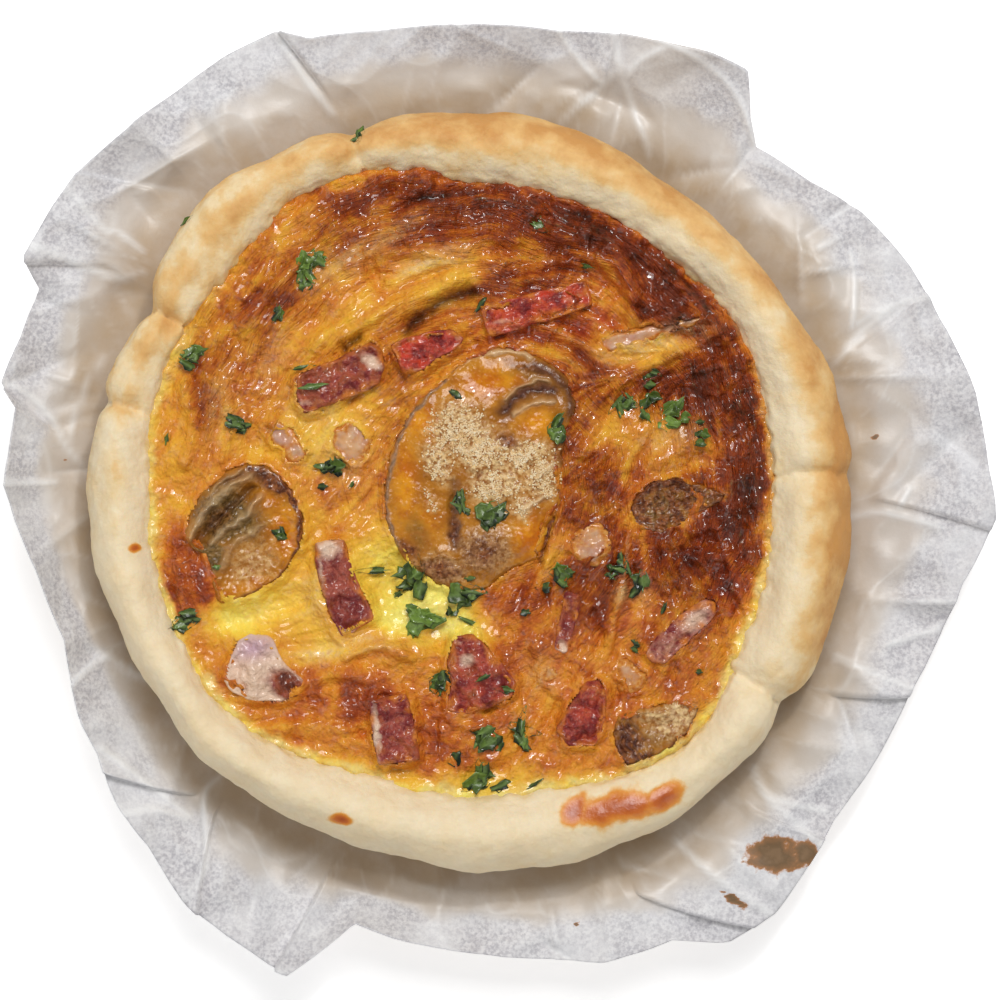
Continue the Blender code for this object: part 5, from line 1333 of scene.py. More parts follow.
        # The cheese climbs over the edge of each topping, here more and there less, and dips under its middle
        for k, (name, (outline, top, _, _)) in enumerate(shapes.items()):
            reach, uneven, below = self.COVER[name[:3]]
            d = depth_inside(x, y, outline)
            over = np.maximum(reach + uneven * noise.layers(x / 2.6, y / 2.6, 3.1 * k, 2), 0.08)
            spread = sum(place[6] * patch(wx, wy, *place[1:6]) for place in COVERED if place[0] == name)
            over = over + spread - d
            shore = top - below + 0.4 * other(x / 1.9, y / 1.9, k) + 1.3 * step(0.3, 1.5, spread)
            beach = shore - np.maximum(shore - z, 0.0) * step(0.0, 2.2, over)
            sunk = np.minimum(z, shore - 2.2 * step(0.0, 0.7, -over))
            z = np.where(d < -6.0, z, np.where(over > 0.0, np.maximum(z, beach), sunk))
            shade = np.exp(-((over - 0.1) / 0.5) ** 2) * (d > -6.0)
            brown += 0.04 * shade * (name[0] != "o")
        # Along the rim the cheese climbs the pastry, thin and oily
        ragged = noise.layers(x / 6.5, y / 6.5, 7, 3) + 0.45 * other.layers(x / 2.2, y / 2.2, 7, 2)
        lip = step(3.4, 0.0, inside + 1.2 * ragged)
        z = np.where(inside < 5.0, z + (0.55 + 0.8 * ragged) * lip, z)
        z -= 1.6 * step(0.3, -1.8, inside)
        oily = step(2.4, 0.1, inside + 1.3 * ragged)
        top_side = np.clip(np.cos(np.radians(angle - 62)), 0, 1)
        upper_left = bell(angle, 132, 34)
        rim_tone = 0.1 + 0.5 * top_side + 0.16 * upper_left + 0.14 * other.layers(x / 4, y / 4, 12, 2)
        brown = np.where(inside < 5, brown + (rim_tone - brown) * 0.9 * oily, brown)
        red = painted(wx, wy, REDNESS) * (0.8 + 0.4 * noise(x / 3, y / 3, 8))
        cream = painted(wx, wy, CREAM) * (0.6 + np.clip(wide + 0.3, 0, 1))
        # Pale along the crests of the thin streaks: a painted highlight
        cream = cream + 0.4 * drawn * step(0.55, 1.1, thin + 0.5 * wide)
        film = step(-0.1, 0.5, other.layers(x / 7, y / 7, 15, 3)) * (0.35 + 0.65 * strength)
        oil = oily * (1.0 - 0.8 * upper_left) - 0.9 * top_side
        marks = {"brown": brown, "red": red, "cream": cream, "crevice_shade": crevice_shade, "film": film, "thin": oil}
        marks = {key: np.clip(values, 0, 1) for key, values in marks.items()}
        marks.update(lane=lane, drawn=drawn * (1 - 0.7 * oily))
        points = np.stack([x, y, np.minimum(z, 31.5)], -1)
        ring_angle = angle[edge]
        rim = around(RIM_IN, ring_angle)
        rings = []
        for radius, height in ((rim + 0.4, 24.4), (rim - 1.75, 22.6), (0 * rim + 54.4, 6.25)):
            rx, ry = polar(ring_angle, radius)
            rings.append(np.stack([rx, ry, 0 * rx + height], -1))
        points, faces = skirt(points, faces, edge, rings)
        extra = len(points) - len(x)
        marks = {k: np.concatenate([m, np.full(extra, 0.3 if k == "brown" else 0.0)]) for k,
                 m in marks.items()}
        filling = add_piece("cheese_filling", points, faces, filling_material(s), marks)
        declare(filling, "filling", "filling")
        return {'FINISHED'}


def topping_piece(name, shape, kind, slot, cells, edge_width, surface, marks):
    """Closed slice with eased edges.

    From place and depth inside, surface gives the change of height and marks the finish.
    """
    outline, top, thick, rise = shape
    u, v, faces, edge = disc_grid(cells)
    middle = outline.mean(0)
    values, axes = np.linalg.eigh(np.cov((outline - middle).T))
    scale = np.sqrt(values)
    flat = (outline - middle) @ axes / scale
    ring_angle = np.mod(np.unwrap(np.arctan2(flat[:, 1], flat[:, 0])), math.tau)
    order = np.argsort(ring_angle)
    ring_reach = np.hypot(flat[:, 0], flat[:, 1])[order]
    way = np.mod(np.arctan2(v, u), math.tau)
    reach = np.interp(way, ring_angle[order], ring_reach, period=math.tau)
    spot = np.stack([u * reach, v * reach], -1) * scale @ axes.T + middle
    x, y = spot[:, 0], spot[:, 1]
    if np.linalg.det(axes) < 0:
        faces, edge = faces[:, ::-1], edge[::-1]
    depth = np.maximum(depth_inside(x, y, outline), 0.0)
    depth[edge] = 0.0
    outward = 1.0 - np.clip(depth / edge_width, 0, 1)
    z = top + rise * step(0.5, 5.0, depth) - edge_width * (1.0 - np.sqrt(1.0 - outward ** 2))
    z = z + surface(x, y, depth)
    off_x, off_y = x[edge] - middle[0], y[edge] - middle[1]
    rings = []
    for grow, height in ((0.0, top - 0.5 * thick), (0.7, top - thick)):
        pull = 1.0 - grow / np.maximum(np.hypot(off_x, off_y), 2.0)
        rings.append(np.stack([middle[0] + off_x * pull, middle[1] + off_y * pull, 0 * pull + height], -1))
    points, faces = skirt(np.stack([x, y, z], -1), faces, edge, rings)
    extra = len(points) - len(x)
    finish = {k: np.concatenate([m, np.full(extra, m[edge].mean())]) for k, m in marks(x, y, depth).items()}
    declare(add_piece(name, points, faces, kind, finish), slot, name.split("__")[0])


class QUICHE_OT_ham(bpy.types.Operator):
    """Pieces of smoked ham"""
    bl_idname = "quiche.ham"
    bl_label = "Ham"

    # Per piece: fat, brightness, how cooked, glaze, tilt along x and y in mm per mm, then patches of fat
    LOOKS = {
        "ham_1": (0.05, 0.1, 0.4, 0.1, 0.02, 0.06,
                  [(-25.0, 27.0, 1.8, 3.8, 60, 0.8), (-38.0, 19.0, 2.2, 1.2, 0, 0.5),
                   (-28.0, 20.6, 3.0, 0.8, 20, 0.8)]),
        "ham_2": (0.0, 0.95, 0.05, 0.0, 0.0, -0.1,
                  [(-8.2, 31.8, 1.6, 1.4, 0, 0.5), (-17.0, 25.4, 2.4, 0.8, 10, 0.5)]),
        "ham_3": (0.05, 1.0, 0.15, 0.25, 0.0, -0.05,
                  [(14.0, 39.5, 3.5, 1.2, 15, 0.4), (0.0, 35.0, 4.0, 0.9, 10, 0.5)]),
        "ham_4": (0.0, 0.0, 0.0, 0.0, -0.12, 0.03,
                  [(-33.6, -8.6, 3.0, 3.8, 0, 1.0), (-35.2, -14.0, 0.9, 6.0, 5, 0.6),
                   (-27.5, -25.5, 2.4, 1.6, 20, 0.7)]),
        "ham_5": (0.0, 0.15, 0.25, 0.1, 0.03, 0.05,
                  [(-24.4, -45.0, 1.1, 7.0, 3, 0.9), (-20.0, -51.0, 3.0, 0.8, 0, 0.35)]),
        "ham_6": (0.1, 0.35, 0.3, 0.1, 0.05, 0.06,
                  [(-6.5, -31.5, 2.2, 1.8, 30, 0.8), (-8.0, -28.0, 1.6, 1.2, 0, 0.5),
                   (-0.5, -35.0, 1.8, 1.0, 0, 0.5)]),
        "ham_7": (0.0, 0.5, 0.15, 0.15, -0.1, 0.14, [(19.8, -37.5, 1.0, 2.0, 0, 0.3)]),
        "ham_8": (0.1, 0.0, 0.05, 0.05, 0.0, 0.0, [(12.2, -29.2, 1.6, 2.0, 0, 0.8)]),
        "ham_9": (0.4, 0.1, 0.1, 0.1, 0.0, 0.0, [(38.5, -23.5, 5.0, 3.2, 45, 0.7)]),
        "ham_10": (1.0, 0.0, 0.0, 0.0, 0.04, 0.0,
                   [(-50.5, -33.5, 6.0, 5.0, 0, 0.95), (-46.5, -33.0, 3.5, 3.5, 0, 0.85)]),
    }

    def execute(self, context):
        s = context.scene.quiche_toppings
        kind = ham_material(s)
        shapes = topping_shapes()
        for k, (name, (fat, bright, cooked, glaze, tilt_x, tilt_y, fatty)) in enumerate(self.LOOKS.items()):
            noise, fibre = Noise(60 + k), Noise(90 + k)
            middle = shapes[name][0].mean(0)

            def surface(x, y, depth):
                z = tilt_x * (x - middle[0]) + tilt_y * (y - middle[1])
                z = z + 1.3 * noise.layers(x / 4.2, y / 4.2, 0, 3)
                z = z + 0.14 * fibre.layers(x / 1.1, y / 1.1, 0, 2)
                return z * step(0.0, 1.2, depth)

            def marks(x, y, depth):
                pale = name == "ham_10"
                edge = np.exp(-(depth / 0.8) ** 2)
                seared = patch(x, y, -41.5, -36.6, 4.2, 2.8, -35) * pale
                patches = painted(x + 0.6 * noise(x / 1.5, y / 1.5), y, fatty) * (1.0 - seared)
                uneven = 0.5 + 1.2 * noise.layers(x / 3.2, y / 3.2, 7, 2)
                browned = 0.2 * edge + 0.35 * noise.layers(x / 2.2, y / 2.2, 3, 3) + 0.9 * seared
                finish = {
                    "fat": np.maximum(fat * (1.0 - 1.2 * seared), patches),
                    "bright": bright * (1.0 - 0.3 * edge),
                    "cooked": cooked + browned,
                    "glaze": glaze + (0.2 if pale else 0.75) * np.exp(-(depth / 1.5) ** 2) * uneven,
                    "lilac": 0.8 * patch(x, y, -48.5, -29.0, 4.0, 2.4, 15) * pale}
                return {key: np.clip(values, 0, 1) for key, values in finish.items()}

            topping_piece(name + "__ham", shapes[name], kind, "ham", 60, 0.55, surface, marks)
        return {'FINISHED'}


class QUICHE_OT_mushrooms(bpy.types.Operator):
    """Slices of mushroom, cap and stem"""
    bl_idname = "quiche.mushrooms"
    bl_label = "Mushrooms"

    def mushroom_1(self, x, y, wx, wy, depth, noise):
        """Wrinkled slice on the left."""
        folds = 0.0 * x
        for line, high, wide in (([(-61.0, -7.3), (-57.8, -2.1), (-53.8, 1.9), (-49.2, 4.5)], 1.1, 0.9),
                                 ([(-56.8, -8.6), (-54.2, -5.7), (-50.6, -3.7), (-47.3, 0.6)], 1.1, 0.8),
                                 ([(-54.7, -13.5), (-52.6, -8.9), (-49.2, -6.6), (-46.9, -5.0)], 0.6, 0.7),
                                 ([(-59.4, -8.2), (-56.2, -4.4), (-52.2, -0.6), (-48.6, 2.4)], -0.9, 0.9),
                                 ([(-57.5, 0.6), (-54.5, 3.8), (-51.0, 5.8)], 0.6, 0.5),
                                 ([(-52.5, -1.9), (-50.0, 0.4)], 0.5, 0.4)):
            folds = folds + high * stroke(wx, wy, line, wide)
        gill = 0.6 * stroke(wx, wy, [(-54.2, 3.6), (-50.2, 5.2), (-46.9, 4.8)], 1.2)
        # Dark along the furrow between two folds: painted shade, laid on through the gill mark
        shaded_furrow = [(-59.4, -8.2), (-56.2, -4.4), (-52.2, -0.6), (-48.6, 2.4)]
        gill = np.maximum(gill, 0.5 * stroke(wx, wy, shaded_furrow, 1.0))
        rim = stroke(wx, wy, [(-49.2, 6.4), (-44.9, 4.2), (-40.6, -0.3), (-39.3, -5.3), (-40.6, -12.2),
                              (-44.9, -16.7), (-49.9, -19.3)], 0.7)
        dark = painted(wx, wy, [(-44.6, 3.4, 4.6, 2.0, -40, 0.95), (-56.5, -3.5, 4.0, 4.5, 40, 0.45)])
        dark = np.maximum(dark, 0.8 * rim)
        amber = painted(wx, wy, [(-42.0, -6.5, 2.6, 6.0, 10, 0.9), (-44.5, 0.5, 3.0, 2.0, 0, 0.6),
                                 (-50.0, -17.0, 6.0, 2.0, 20, 0.6)])
        olive = painted(wx, wy, [(-54.5, -3.0, 6.5, 6.5, 40, 1.0), (-57.0, -11.0, 4.0, 4.0, 0, 0.9),
                                 (-49.5, -4.5, 4.0, 5.0, 40, 0.7)])
        along, across = 0.62 * x + 0.78 * y, 0.78 * x - 0.62 * y
        wrinkled = painted(wx, wy, [(-54.5, -1.0, 6.0, 5.0, 45, 1.0), (-50.0, 2.0, 3.0, 3.0, 0, 0.8)])
        granular = painted(wx, wy, [(-49.2, -12.6, 6.0, 4.0, 20, 0.5), (-46.5, -7.5, 4.0, 3.0, 0, 0.3)])
        # Pale along the fold ridges: painted highlight
        cream = 0.35 * np.clip(folds, 0, 1)
        z = (1.5 * folds + 0.2 * noise.layers(x / 1.1, y / 1.1, 1, 3) * (0.3 + granular)
             + 0.5 * noise.layers(x / 4, y / 4, 2, 3))
        z += wrinkled * (0.5 * noise.layers(across / 1.1, along / 3.5, 6, 3)
                         + 0.3 * noise.layers(x / 1.6, y / 1.6, 7, 2))
        return z, {"gill": gill, "cream": cream, "granular": granular, "dark": dark, "amber": amber,
                   "olive": olive}

    def mushroom_2(self, x, y, wx, wy, depth, noise):
        """Large slice, seen from its side, with its gills and a heap of grated cheese."""
        gills = stroke(wx, wy, [(1.1, 17.6), (2.6, 19.6), (4.6, 21.0), (7.6, 21.7), (10.4, 21.5)], 1.6)
        cap = stroke(wx, wy, [(7.0, 26.4), (9.9, 25.0), (12.1, 23.2), (13.7, 20.4), (14.0, 17.2)], 1.3)
        under = stroke(wx, wy, [(2.6, 16.7), (5.4, 18.5), (8.2, 19.5), (10.6, 19.3)], 0.45)
        above = stroke(wx, wy, [(1.0, 19.8), (3.4, 22.1), (6.6, 23.4), (9.2, 23.4)], 0.45)
        middle_gill = stroke(wx, wy, [(-8.8, 3.0), (-9.3, -1.0), (-9.1, -5.0), (-8.3, -8.8)], 1.1)
        gill = np.maximum(np.maximum(0.95 * gills, 0.85 * cap), 0.55 * middle_gill)
        rim = stroke(wx, wy, [(-10.9, 23.3), (-13.9, 20.9), (-16.6, 17.4), (-19.4, 13.2), (-20.9, 8.0),
                              (-22.1, 2.8), (-22.4, -1.9), (-21.6, -5.6), (-20.0, -9.2)], 0.5)
        top_line = stroke(wx, wy, [(-10.0, 25.4), (-7.6, 27.2), (-5.2, 28.3), (-1.3, 28.9), (2.6, 29.3),
                                   (6.0, 28.0)], 0.5)
        crinkle = np.maximum(stroke(wx, wy, [(7.0, 4.2), (8.6, 5.4), (10.2, 7.0)], 0.5),
                             stroke(wx, wy, [(4.4, -2.0), (6.4, -0.6), (9.4, 0.8)], 0.5))
        crinkle = np.maximum(crinkle, 0.7 * stroke(wx, wy, [(-6.5, 9.6), (-4.4, 10.5), (-2.6, 12.2)], 0.6))
        # Pale along the raised lines above and below the gills and on the crinkles: painted highlight, with
        # paler cream along the top line and rim
        cream = np.clip(0.6 * top_line + 0.45 * under + 0.35 * above + 0.8 * crinkle + 0.25 * rim, 0, 1)
        pile = painted(wx, wy, [(-8.2, 13.8, 5.6, 5.2, -15, 1.0), (-12.4, 7.5, 3.0, 4.6, 20, 0.8),
                                (6.0, 8.6, 5.0, 2.8, 8, 0.85),
                                (-3.0, 8.5, 4.6, 3.8, 0, 0.95), (8.6, 4.0, 3.4, 4.4, -20, 0.9),
                                (-1.0, 2.6, 5.0, 3.2, 0, 0.85),
                                (-13.5, -1.0, 2.4, 4.0, 10, 0.4), (4.5, -1.5, 3.4, 3.0, 0, 0.6)])
        stem = patch(wx, wy, -3.2, -10.3, 5.6, 4.6, 10)
        foot = patch(wx, wy, -11.9, -13.6, 5.0, 3.0, -8)
        corners = painted(wx, wy, [(-18.0, -9.6, 3.2, 1.6, -35, 1.0), (-8.9, -6.0, 1.6, 4.5, 0, 0.9)])
        dark = np.maximum(0.7 * np.maximum(stem, foot), 0.8 * corners)
        dark = np.maximum(dark, 0.75 * rim)
        burnt = painted(wx, wy, [(1.4, 11.7, 2.6, 2.0, -30, 1.0), (5.0, 26.2, 5.0, 1.4, -20, 0.8),
                                 (-4.0, 4.8, 1.2, 1.0, 0, 1.0), (11.6, 9.6, 2.4, 3.6, 10, 0.7),
                                 (0.6, 15.2, 1.6, 2.0, 0, 0.6)])
        dark = np.maximum(dark, 0.7 * burnt)
        # Dark along the crack that is cut in below: painted shade in the groove
        dark = np.maximum(dark, 0.7 * stroke(wx, wy, [(10.7, -3.0), (9.3, -7.0), (8.0, -11.4)], 0.5))
        strewn = 1.1 * pile + 0.4 * patch(wx, wy, -1.5, 7.0, 9.0, 9.5, 0)
        granular = np.clip(strewn - 0.1, 0, 1) * (1.0 - 0.8 * gills)
        granular = np.maximum(granular, 0.75 * np.maximum(stem, foot))
        heaps = pile * (1.0 + 1.1 * noise.layers(x / 2.4, y / 2.4, 8, 3))
        crumb = np.clip(heaps - 0.2, 0, 1) ** 1.5 * (1.0 - gill)
        hollow = patch(wx, wy, -2.0, 23.2, 6.4, 2.6, 6)
        z = (0.9 * pile * step(0, 4, depth) + 1.1 * stem + 0.7 * foot - 0.9 * gills
             + 0.6 * under + 0.6 * above + 0.5 * top_line)
        z += (0.45 * cap + 0.35 * rim + 0.6 * crinkle - 0.5 * hollow - 0.7 * middle_gill
              + 0.7 * patch(wx, wy, 6.0, -7.0, 3.2, 4.0, 0))
        z += 0.6 * stroke(wx, wy, [(-15.5, -11.6), (-11.9, -10.8), (-8.4, -11.2)], 0.6)
        z += (0.32 * noise.layers(x / 1.1, y / 1.1, 1, 3) * np.clip(pile + stem + foot, 0.1, 1)
              + 0.25 * noise.layers(x / 4.5, y / 4.5, 2, 2))
        z -= 0.7 * stroke(wx, wy, [(10.7, -3.0), (9.3, -7.0), (8.0, -11.4)], 0.5)
        olive = 0.5 * painted(wx, wy, [(-16.0, -7.0, 3.0, 5.0, 20, 1.0), (6.0, 24.5, 5.0, 2.0, -20, 1.0)])
        amber = painted(wx, wy, [(-2.0, 23.2, 6.6, 3.0, 6, 1.0), (7.4, 15.2, 3.6, 2.4, 0, 1.0),
                                 (-18.6, 4.0, 2.4, 9.0, 0, 0.9),
                                 (-15.5, 15.5, 3.5, 3.5, 40, 1.0), (5.8, -7.0, 3.4, 4.2, 0, 1.0),
                                 (-14.5, -4.0, 3.0, 4.0, 0, 0.6)])
        return z, {"gill": gill, "cream": cream, "granular": granular, "dark": dark, "crumb": crumb,
                   "amber": amber, "olive": olive}

    def mushroom_3(self, x, y, wx, wy, depth, noise):
        """Dark slice on the right, half under the cheese."""
        rim = stroke(wx, wy, [(26.2, 0.5), (28.4, 2.6), (31.0, 4.0), (34.4, 4.2), (36.6, 2.8)], 1.0)
        granular = 0.35 * painted(wx, wy, [(33.0, -2.0, 4.0, 2.4, 20, 1.0)])
        olive = painted(wx, wy, [(32.0, -1.5, 5.0, 4.0, 20, 0.9), (40.0, 0.5, 5.0, 2.0, 10, 0.5)])
        dark = 0.6 + 0.3 * rim + 0.5 * noise.layers(x / 2.2, y / 2.2, 4, 3)
        gill = 0.7 * rim
        cream = 0.25 * np.clip(noise.layers(x / 1.1, y / 1.1, 9, 2) - 0.25, 0, 1)
        hollow = painted(x, y, [(33, -1.5, 5, 3, 20, 1.0)])
        z = 0.6 * noise.layers(x / 1.6, y / 1.6, 1, 3) + 0.9 * rim - 0.6 * hollow
        return z, {"gill": gill, "cream": cream, "granular": granular, "dark": dark, "olive": olive}

    def mushroom_4(self, x, y, wx, wy, depth, noise):
        """Slice at the lower right, with open gills."""
        rim = stroke(wx, wy, [(26.4, -52.4), (32.5, -50.0), (37.2, -46.0), (39.3, -41.8)], 0.9)
        gills = painted(wx, wy, [(25.0, -48.0, 3.0, 5.0, 0, 1.0), (27.5, -50.5, 3.0, 1.6, 0, 0.8)])
        comb = np.sin((x * 0.92 + y * 0.38) * 4.2 + 5.0 * noise(x / 2.5, y / 2.5))
        gill = np.clip(gills * (0.6 + 0.4 * comb) + 0.3 * rim, 0, 1)
        granular = 0.9 * painted(wx, wy, [(34.5, -43.0, 5.5, 3.6, 20, 1.0), (30.0, -42.5, 4.0, 1.4, 8, 0.8)])
        cream = np.clip(0.7 * noise.layers(x / 1.4, y / 1.4, 9, 3) + 0.1, 0, 1)
        cream = cream * patch(wx, wy, 34.0, -42.5, 5.5, 3.0, 20)
        dark = np.maximum(0.8 * rim, 0.9 * gills) + 0.4 * noise.layers(x / 2.2, y / 2.2, 4, 3)
        olive = 0.5 * painted(wx, wy, [(31.0, -46.5, 5.0, 3.0, 20, 1.0)])
        z = (0.25 * gills * comb + 0.6 * rim + 0.35 * noise.layers(x / 1.8, y / 1.8, 1, 3)
             + 0.7 * noise(x / 4, y / 4, 3))
        return z, {"gill": gill, "cream": cream, "granular": granular, "dark": dark, "olive": olive}

    def paint(self, name, x, y, depth, noise):
        """Change of height and finish of one slice."""
        wx, wy = x + 0.5 * noise(x / 2, y / 2), y + 0.5 * noise(x / 2, y / 2, 5)
        z, given = getattr(self, name)(x, y, wx, wy, depth, noise)
        marks = dict.fromkeys(("gill", "cream", "granular", "dark", "crumb", "amber", "olive"), 0.0 * x)
        marks.update(given)
        marks["dark"] = marks["dark"] + 0.2 * np.exp(-(depth / 0.7) ** 2)
        return z * step(0.0, 0.9, depth), {key: np.clip(values, 0, 1) for key, values in marks.items()}

    def execute(self, context):
        s = context.scene.quiche_toppings
        kind = mushroom_material(s)
        shapes = topping_shapes()
        grids = {"mushroom_1": 150, "mushroom_2": 280, "mushroom_3": 80, "mushroom_4": 90}
        for k, (name, cells) in enumerate(grids.items()):
            noise = Noise(120 + k)
            topping_piece(name + "__slice", shapes[name], kind, "mushroom", cells, 0.9,
                          lambda x, y, depth: self.paint(name, x, y, depth, noise)[0],
                          lambda x, y, depth: self.paint(name, x, y, depth, noise)[1])
        return {'FINISHED'}


class QUICHE_OT_onions(bpy.types.Operator):
    """Soft pieces of onion"""
    bl_idname = "quiche.onions"
    bl_label = "Onions"

    # Per piece: direction of the veins, purple skin, how much cheese covers it
    LOOKS = {"onion_1": (75, 0.45, 0.3), "onion_2": (14, 0.4, 0.0), "onion_3": (60, 0.2, 0.4),
             "onion_4": (-60, 0.0, 0.1), "onion_5": (40, 0.45, 0.4), "onion_6": (-55, 0.75, 0.2)}

    def execute(self, context):
        s = context.scene.quiche_toppings
        kind = onion_material(s)
        shapes = topping_shapes()
        for k, (name, (way, purple, cover)) in enumerate(self.LOOKS.items()):
            noise = Noise(150 + k)
            c, d = math.cos(math.radians(way)), math.sin(math.radians(way))

            def comb(x, y):
                across = y * c - x * d
                return np.sin(across * 3.0
                              + 3.2 * noise(x / 3, y / 3)) * (0.5 + 1.2 * noise(x / 3.5, y / 3.5, 4))

            def surface(x, y, depth):
                z = 0.1 * comb(x, y) + 0.8 * noise.layers(x / 4, y / 4, 0, 3)
                return z * step(0.0, 1.0, depth)

            def marks(x, y, depth):
                skin = purple * (0.6 + 0.7 * noise.layers(x / 4, y / 4, 2, 2))
                over = cover + 0.8 * np.exp(-(depth / 1.3) ** 2) + 0.4 * noise(x / 2.5, y / 2.5, 6)
                finish = {"vein": 0.5 + 0.5 * comb(x, y), "purple": skin, "cover": over}
                return {key: np.clip(values, 0, 1) for key, values in finish.items()}

            topping_piece(name + "__onion", shapes[name], kind, "onion", 44, 1.3, surface, marks)
        return {'FINISHED'}


class QUICHE_OT_parsley(bpy.types.Operator):
    """Chopped parsley leaves"""
    bl_idname = "quiche.parsley"
    bl_label = "Parsley"

    def execute(self, context):
        s = context.scene.quiche_toppings
        trees = []
        for obj in context.scene.objects:
            if obj.type == 'MESH' and ("__" in obj.name or obj.name in ("cheese_filling", "pastry_case")):
                corners = [v.co for v in obj.data.vertices]
                trees.append(BVHTree.FromPolygons(corners, [p.vertices for p in obj.data.polygons]))

        def surface(x, y):
            best = 0.0
            for tree in trees:
                hit = tree.ray_cast(Vector((x * METRES_PER_MM, y * METRES_PER_MM, 0.06)),
                                    Vector((0, 0, -1)))[0]
                if hit is not None:
                    best = max(best, hit.z * MM_PER_METRE)
            return best

        rng = np.random.default_rng(77)
        points, faces, tones_and_lit_sides, ribs_and_highlights = [], [], [], []
        for px, py, length, width, way, tone in PARSLEY:
            leaves = 1 if length < 3.0 or width < 1.7 else (6 if length > 5.0 else 3)
            along, across = math.cos(math.radians(way)), math.sin(math.radians(way))
            for leaf in range(leaves):
                a = math.radians(way + (0 if leaf == 0 else rng.uniform(-70, 70)))
                cos_a, sin_a = math.cos(a), math.sin(a)
                size = 1.0 if leaves == 1 else rng.uniform(0.48, 0.8)
                off = 0.0 if leaves == 1 else 0.34
                far, wide = off * length, 0.3 * width
                cx = px + far * rng.uniform(-1, 1) * along - wide * rng.uniform(-1, 1) * across
                cy = py + far * rng.uniform(-1, 1) * across + wide * rng.uniform(-1, 1) * along
                half_l = 0.64 * length * size
                half_w = 0.62 * max(width, 1.1) * min(size * rng.uniform(0.6, 1.1), 1.0)
                base = surface(cx, cy)
                tilt_x, tilt_y = rng.uniform(-0.35, 0.35), rng.uniform(-0.35, 0.35)
                fold = rng.uniform(-0.5, 0.9)
                start = len(points)
                lobes = rng.uniform(0.5, 1.1, LEAF_CORNERS)
                tone_here = {0: -0.05, 1: 0.15, 2: 0.5}[tone] + rng.uniform(-0.25, 0.3)
                grid = [(0.0, 0.0, 0.0)]
                for ring in (0.45, 0.8, 1.0):
                    for k in range(LEAF_CORNERS):
                        b = k * math.tau / LEAF_CORNERS
                        f = ring if ring < 0.5 else ring * lobes[k]
                        grid.append((f * math.cos(b), f * math.sin(b) * (1.0 - 0.55 * abs(math.cos(b)) ** 3),
                                     ring))
                for side in (1, -1):
                    for gu, gv, ring in grid:
                        lx, ly = gu * half_l, gv * half_w
                        wx, wy = cx + lx * cos_a - ly * sin_a, cy + lx * sin_a + ly * cos_a
                        ground = surface(wx, wy) if ring in (0.0, 1.0) and side == 1 else base
                        lift = 0.35 + fold * abs(ly) + tilt_x * lx + tilt_y * ly
                        lift += 0.3 * math.sin(2.3 * lx + leaf) * ring
                        z = max(base + lift, ground + 0.12) if side == 1 else base + lift - 0.16
                        points.append((wx, wy, z))
                        shade = tone_here + 0.25 * rng.uniform(-1, 1) * ring
                        # Painted light: the half of the leaf with ly above zero is painted brighter, as its
                        # lit side
                        tones_and_lit_sides.append(shade + 0.55 * (ly > 0) * (1.0 - 0.5 * ring))
                        # Pale midrib, also a painted highlight
                        ribs_and_highlights.append(math.exp(-(ly / 0.22) ** 2) * (1.0 if length > 4 else 0.4))
                per = len(grid)
                for side, shift in ((1, start), (-1, start + per)):
                    for k in range(LEAF_CORNERS):
                        j = (k + 1) % LEAF_CORNERS
                        tri = (shift, shift + 1 + k, shift + 1 + j)
                        faces.append(tri if side == 1 else tri[::-1])
                        for ring in range(2):
                            o = shift + 1 + ring * LEAF_CORNERS
                            p = o + LEAF_CORNERS
                            quad = (o + k, p + k, p + j, o + j)
                            faces.append(quad if side == 1 else quad[::-1])
                o = start + 1 + 2 * LEAF_CORNERS
                p = o + per
                for k in range(LEAF_CORNERS):
                    j = (k + 1) % LEAF_CORNERS
                    faces.append((o + k, p + k, p + j, o + j))
        marks = {"shade": np.clip(tones_and_lit_sides, 0, 1), "rib_and_highlight": np.clip(ribs_and_highlights, 0, 1)}
        leaves = add_piece("parsley_leaves", np.array(points), faces, parsley_material(s), marks)
        declare(leaves, "filling")
        return {'FINISHED'}


